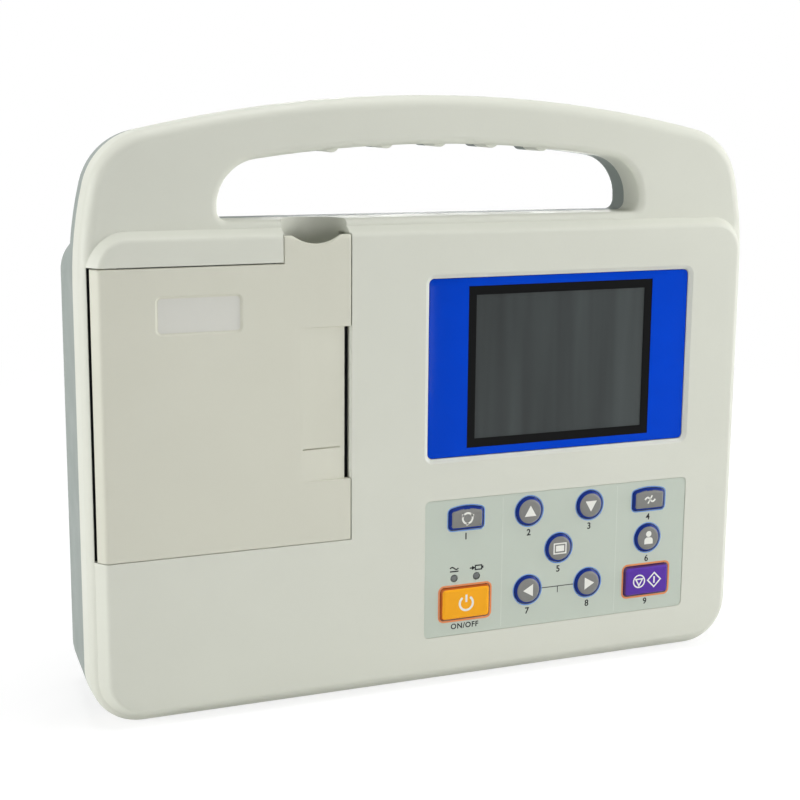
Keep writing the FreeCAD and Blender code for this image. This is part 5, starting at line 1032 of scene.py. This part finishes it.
def make_studio():
    """White floor, white world and five soft boxes."""
    bpy.ops.object.select_all(action="DESELECT")
    bpy.ops.mesh.primitive_plane_add(size=FLOOR_SIZE, location=(0.0, 0.0, -FLOOR_DROP))
    floor = bpy.context.object
    floor.name = "studio_floor"
    place_in_mesh(floor)
    made = bpy.data.materials.new("white_studio_sweep")
    made.use_nodes = True
    tree = made.node_tree
    tree.nodes.clear()
    seen = light_path_seen(tree)
    place = add(tree, "TexCoord").outputs["Object"]
    reach = add(tree, "VectorMath", {0: place}, operation="LENGTH")
    near = add(tree, "MapRange", {"Value": reach.outputs["Value"], "From Min": SHADOW_NEAR,
                                  "From Max": SHADOW_FAR}, interpolation_type="SMOOTHSTEP")
    glow = add(tree, "Emission", {"Color": WHITE, "Strength": FLOOR_GLOW})
    paper = add(tree, "BsdfDiffuse", {"Color": FLOOR_SHADED})
    both = add(tree, "AddShader", {0: glow.outputs[0], 1: paper.outputs[0]})
    white = add(tree, "Emission", {"Color": WHITE, "Strength": 1.0})
    spread = add(tree, "MixShader", {0: near.outputs[0], 1: both.outputs[0], 2: white.outputs[0]})
    plain = add(tree, "BsdfDiffuse", {"Color": FLOOR_BOUNCE})
    mixed = add(tree, "MixShader", {0: seen, 1: plain.outputs[0], 2: spread.outputs[0]})
    add(tree, "OutputMaterial", {"Surface": mixed.outputs[0]})
    floor.data.materials.append(made)

    world = bpy.data.worlds.new("white_studio")
    world.use_nodes = True
    bpy.context.scene.world = world
    tree = world.node_tree
    tree.nodes.clear()
    seen = light_path_seen(tree)
    soft = add(tree, "Background", {"Color": WHITE, "Strength": AMBIENT})
    white = add(tree, "Background", {"Color": WHITE, "Strength": 1.0})
    mixed = add(tree, "MixShader", {0: seen, 1: soft.outputs[0], 2: white.outputs[0]})
    add(tree, "OutputWorld", {"Surface": mixed.outputs[0]})

    soft_box("right_box", place=(0.85, -0.35, 0.35), aim=(0.1, 0.0, 0.1), size=0.5, watts=5.05)
    soft_box("front_card", place=(0.0, -0.6, 0.07), aim=(0.0, 0.0, 0.05), size=0.2, watts=0.75)
    soft_box("left_box", place=(-1.0, -0.02, 0.25), aim=(-0.1, 0.0, 0.1), size=0.3, watts=5.3)
    soft_box("top_box", place=(0.0, -0.05, 0.95), aim=(0.0, 0.0, 0.15), size=0.5, watts=4.6)
    soft_box("back_box", place=(0.45, 0.9, 0.12), aim=(0.0, 0.0, 0.1), size=0.4, watts=7.5)


def light_path_seen(tree):
    """One for rays that look at the stage directly, in a mirror or through glass."""
    path = add(tree, "LightPath")
    some = maths(tree, "MAXIMUM", path.outputs["Is Camera Ray"], path.outputs["Is Glossy Ray"])
    return maths(tree, "MAXIMUM", some, path.outputs["Is Transmission Ray"])


def soft_box(name, place, aim, size, watts):
    """A square soft lamp that faces a point."""
    bpy.ops.object.select_all(action="DESELECT")
    bpy.ops.object.light_add(type="AREA", location=place)
    lamp = bpy.context.object
    lamp.name = name
    lamp.data.size = size
    lamp.data.energy = watts
    lamp.rotation_euler = (Vector(aim) - Vector(place)).to_track_quat("-Z", "Y").to_euler()


def make_camera():
    """The camera, at the photograph's place and angle."""
    view = bpy.data.cameras.new("front_left_view")
    view.sensor_width = SENSOR_MM
    view.lens = FOCAL_PX * SENSOR_MM / PICTURE_PX
    view.clip_start = CLIP_NEAR
    camera = bpy.data.objects.new("front_left_view", view)
    turn = Matrix.Rotation(-CAMERA_YAW, 4, "Z") @ Matrix.Rotation(math.pi / 2 + CAMERA_PITCH, 4, "X")
    camera.matrix_world = Matrix.Translation(CAMERA_PLACE) @ turn @ Matrix.Rotation(CAMERA_ROLL, 4, "Z")
    bpy.context.scene.collection.objects.link(camera)
    bpy.context.scene.camera = camera


finishes = make_finishes()
for node in nodes.values():
    for slot in node.material_slots:
        slot.material = finishes[slot.material.name]

make_window()
make_door()
make_keypad()
make_side_fittings()
make_back()
make_studio()
make_camera()
bpy.context.scene.view_settings.view_transform = "Standard"
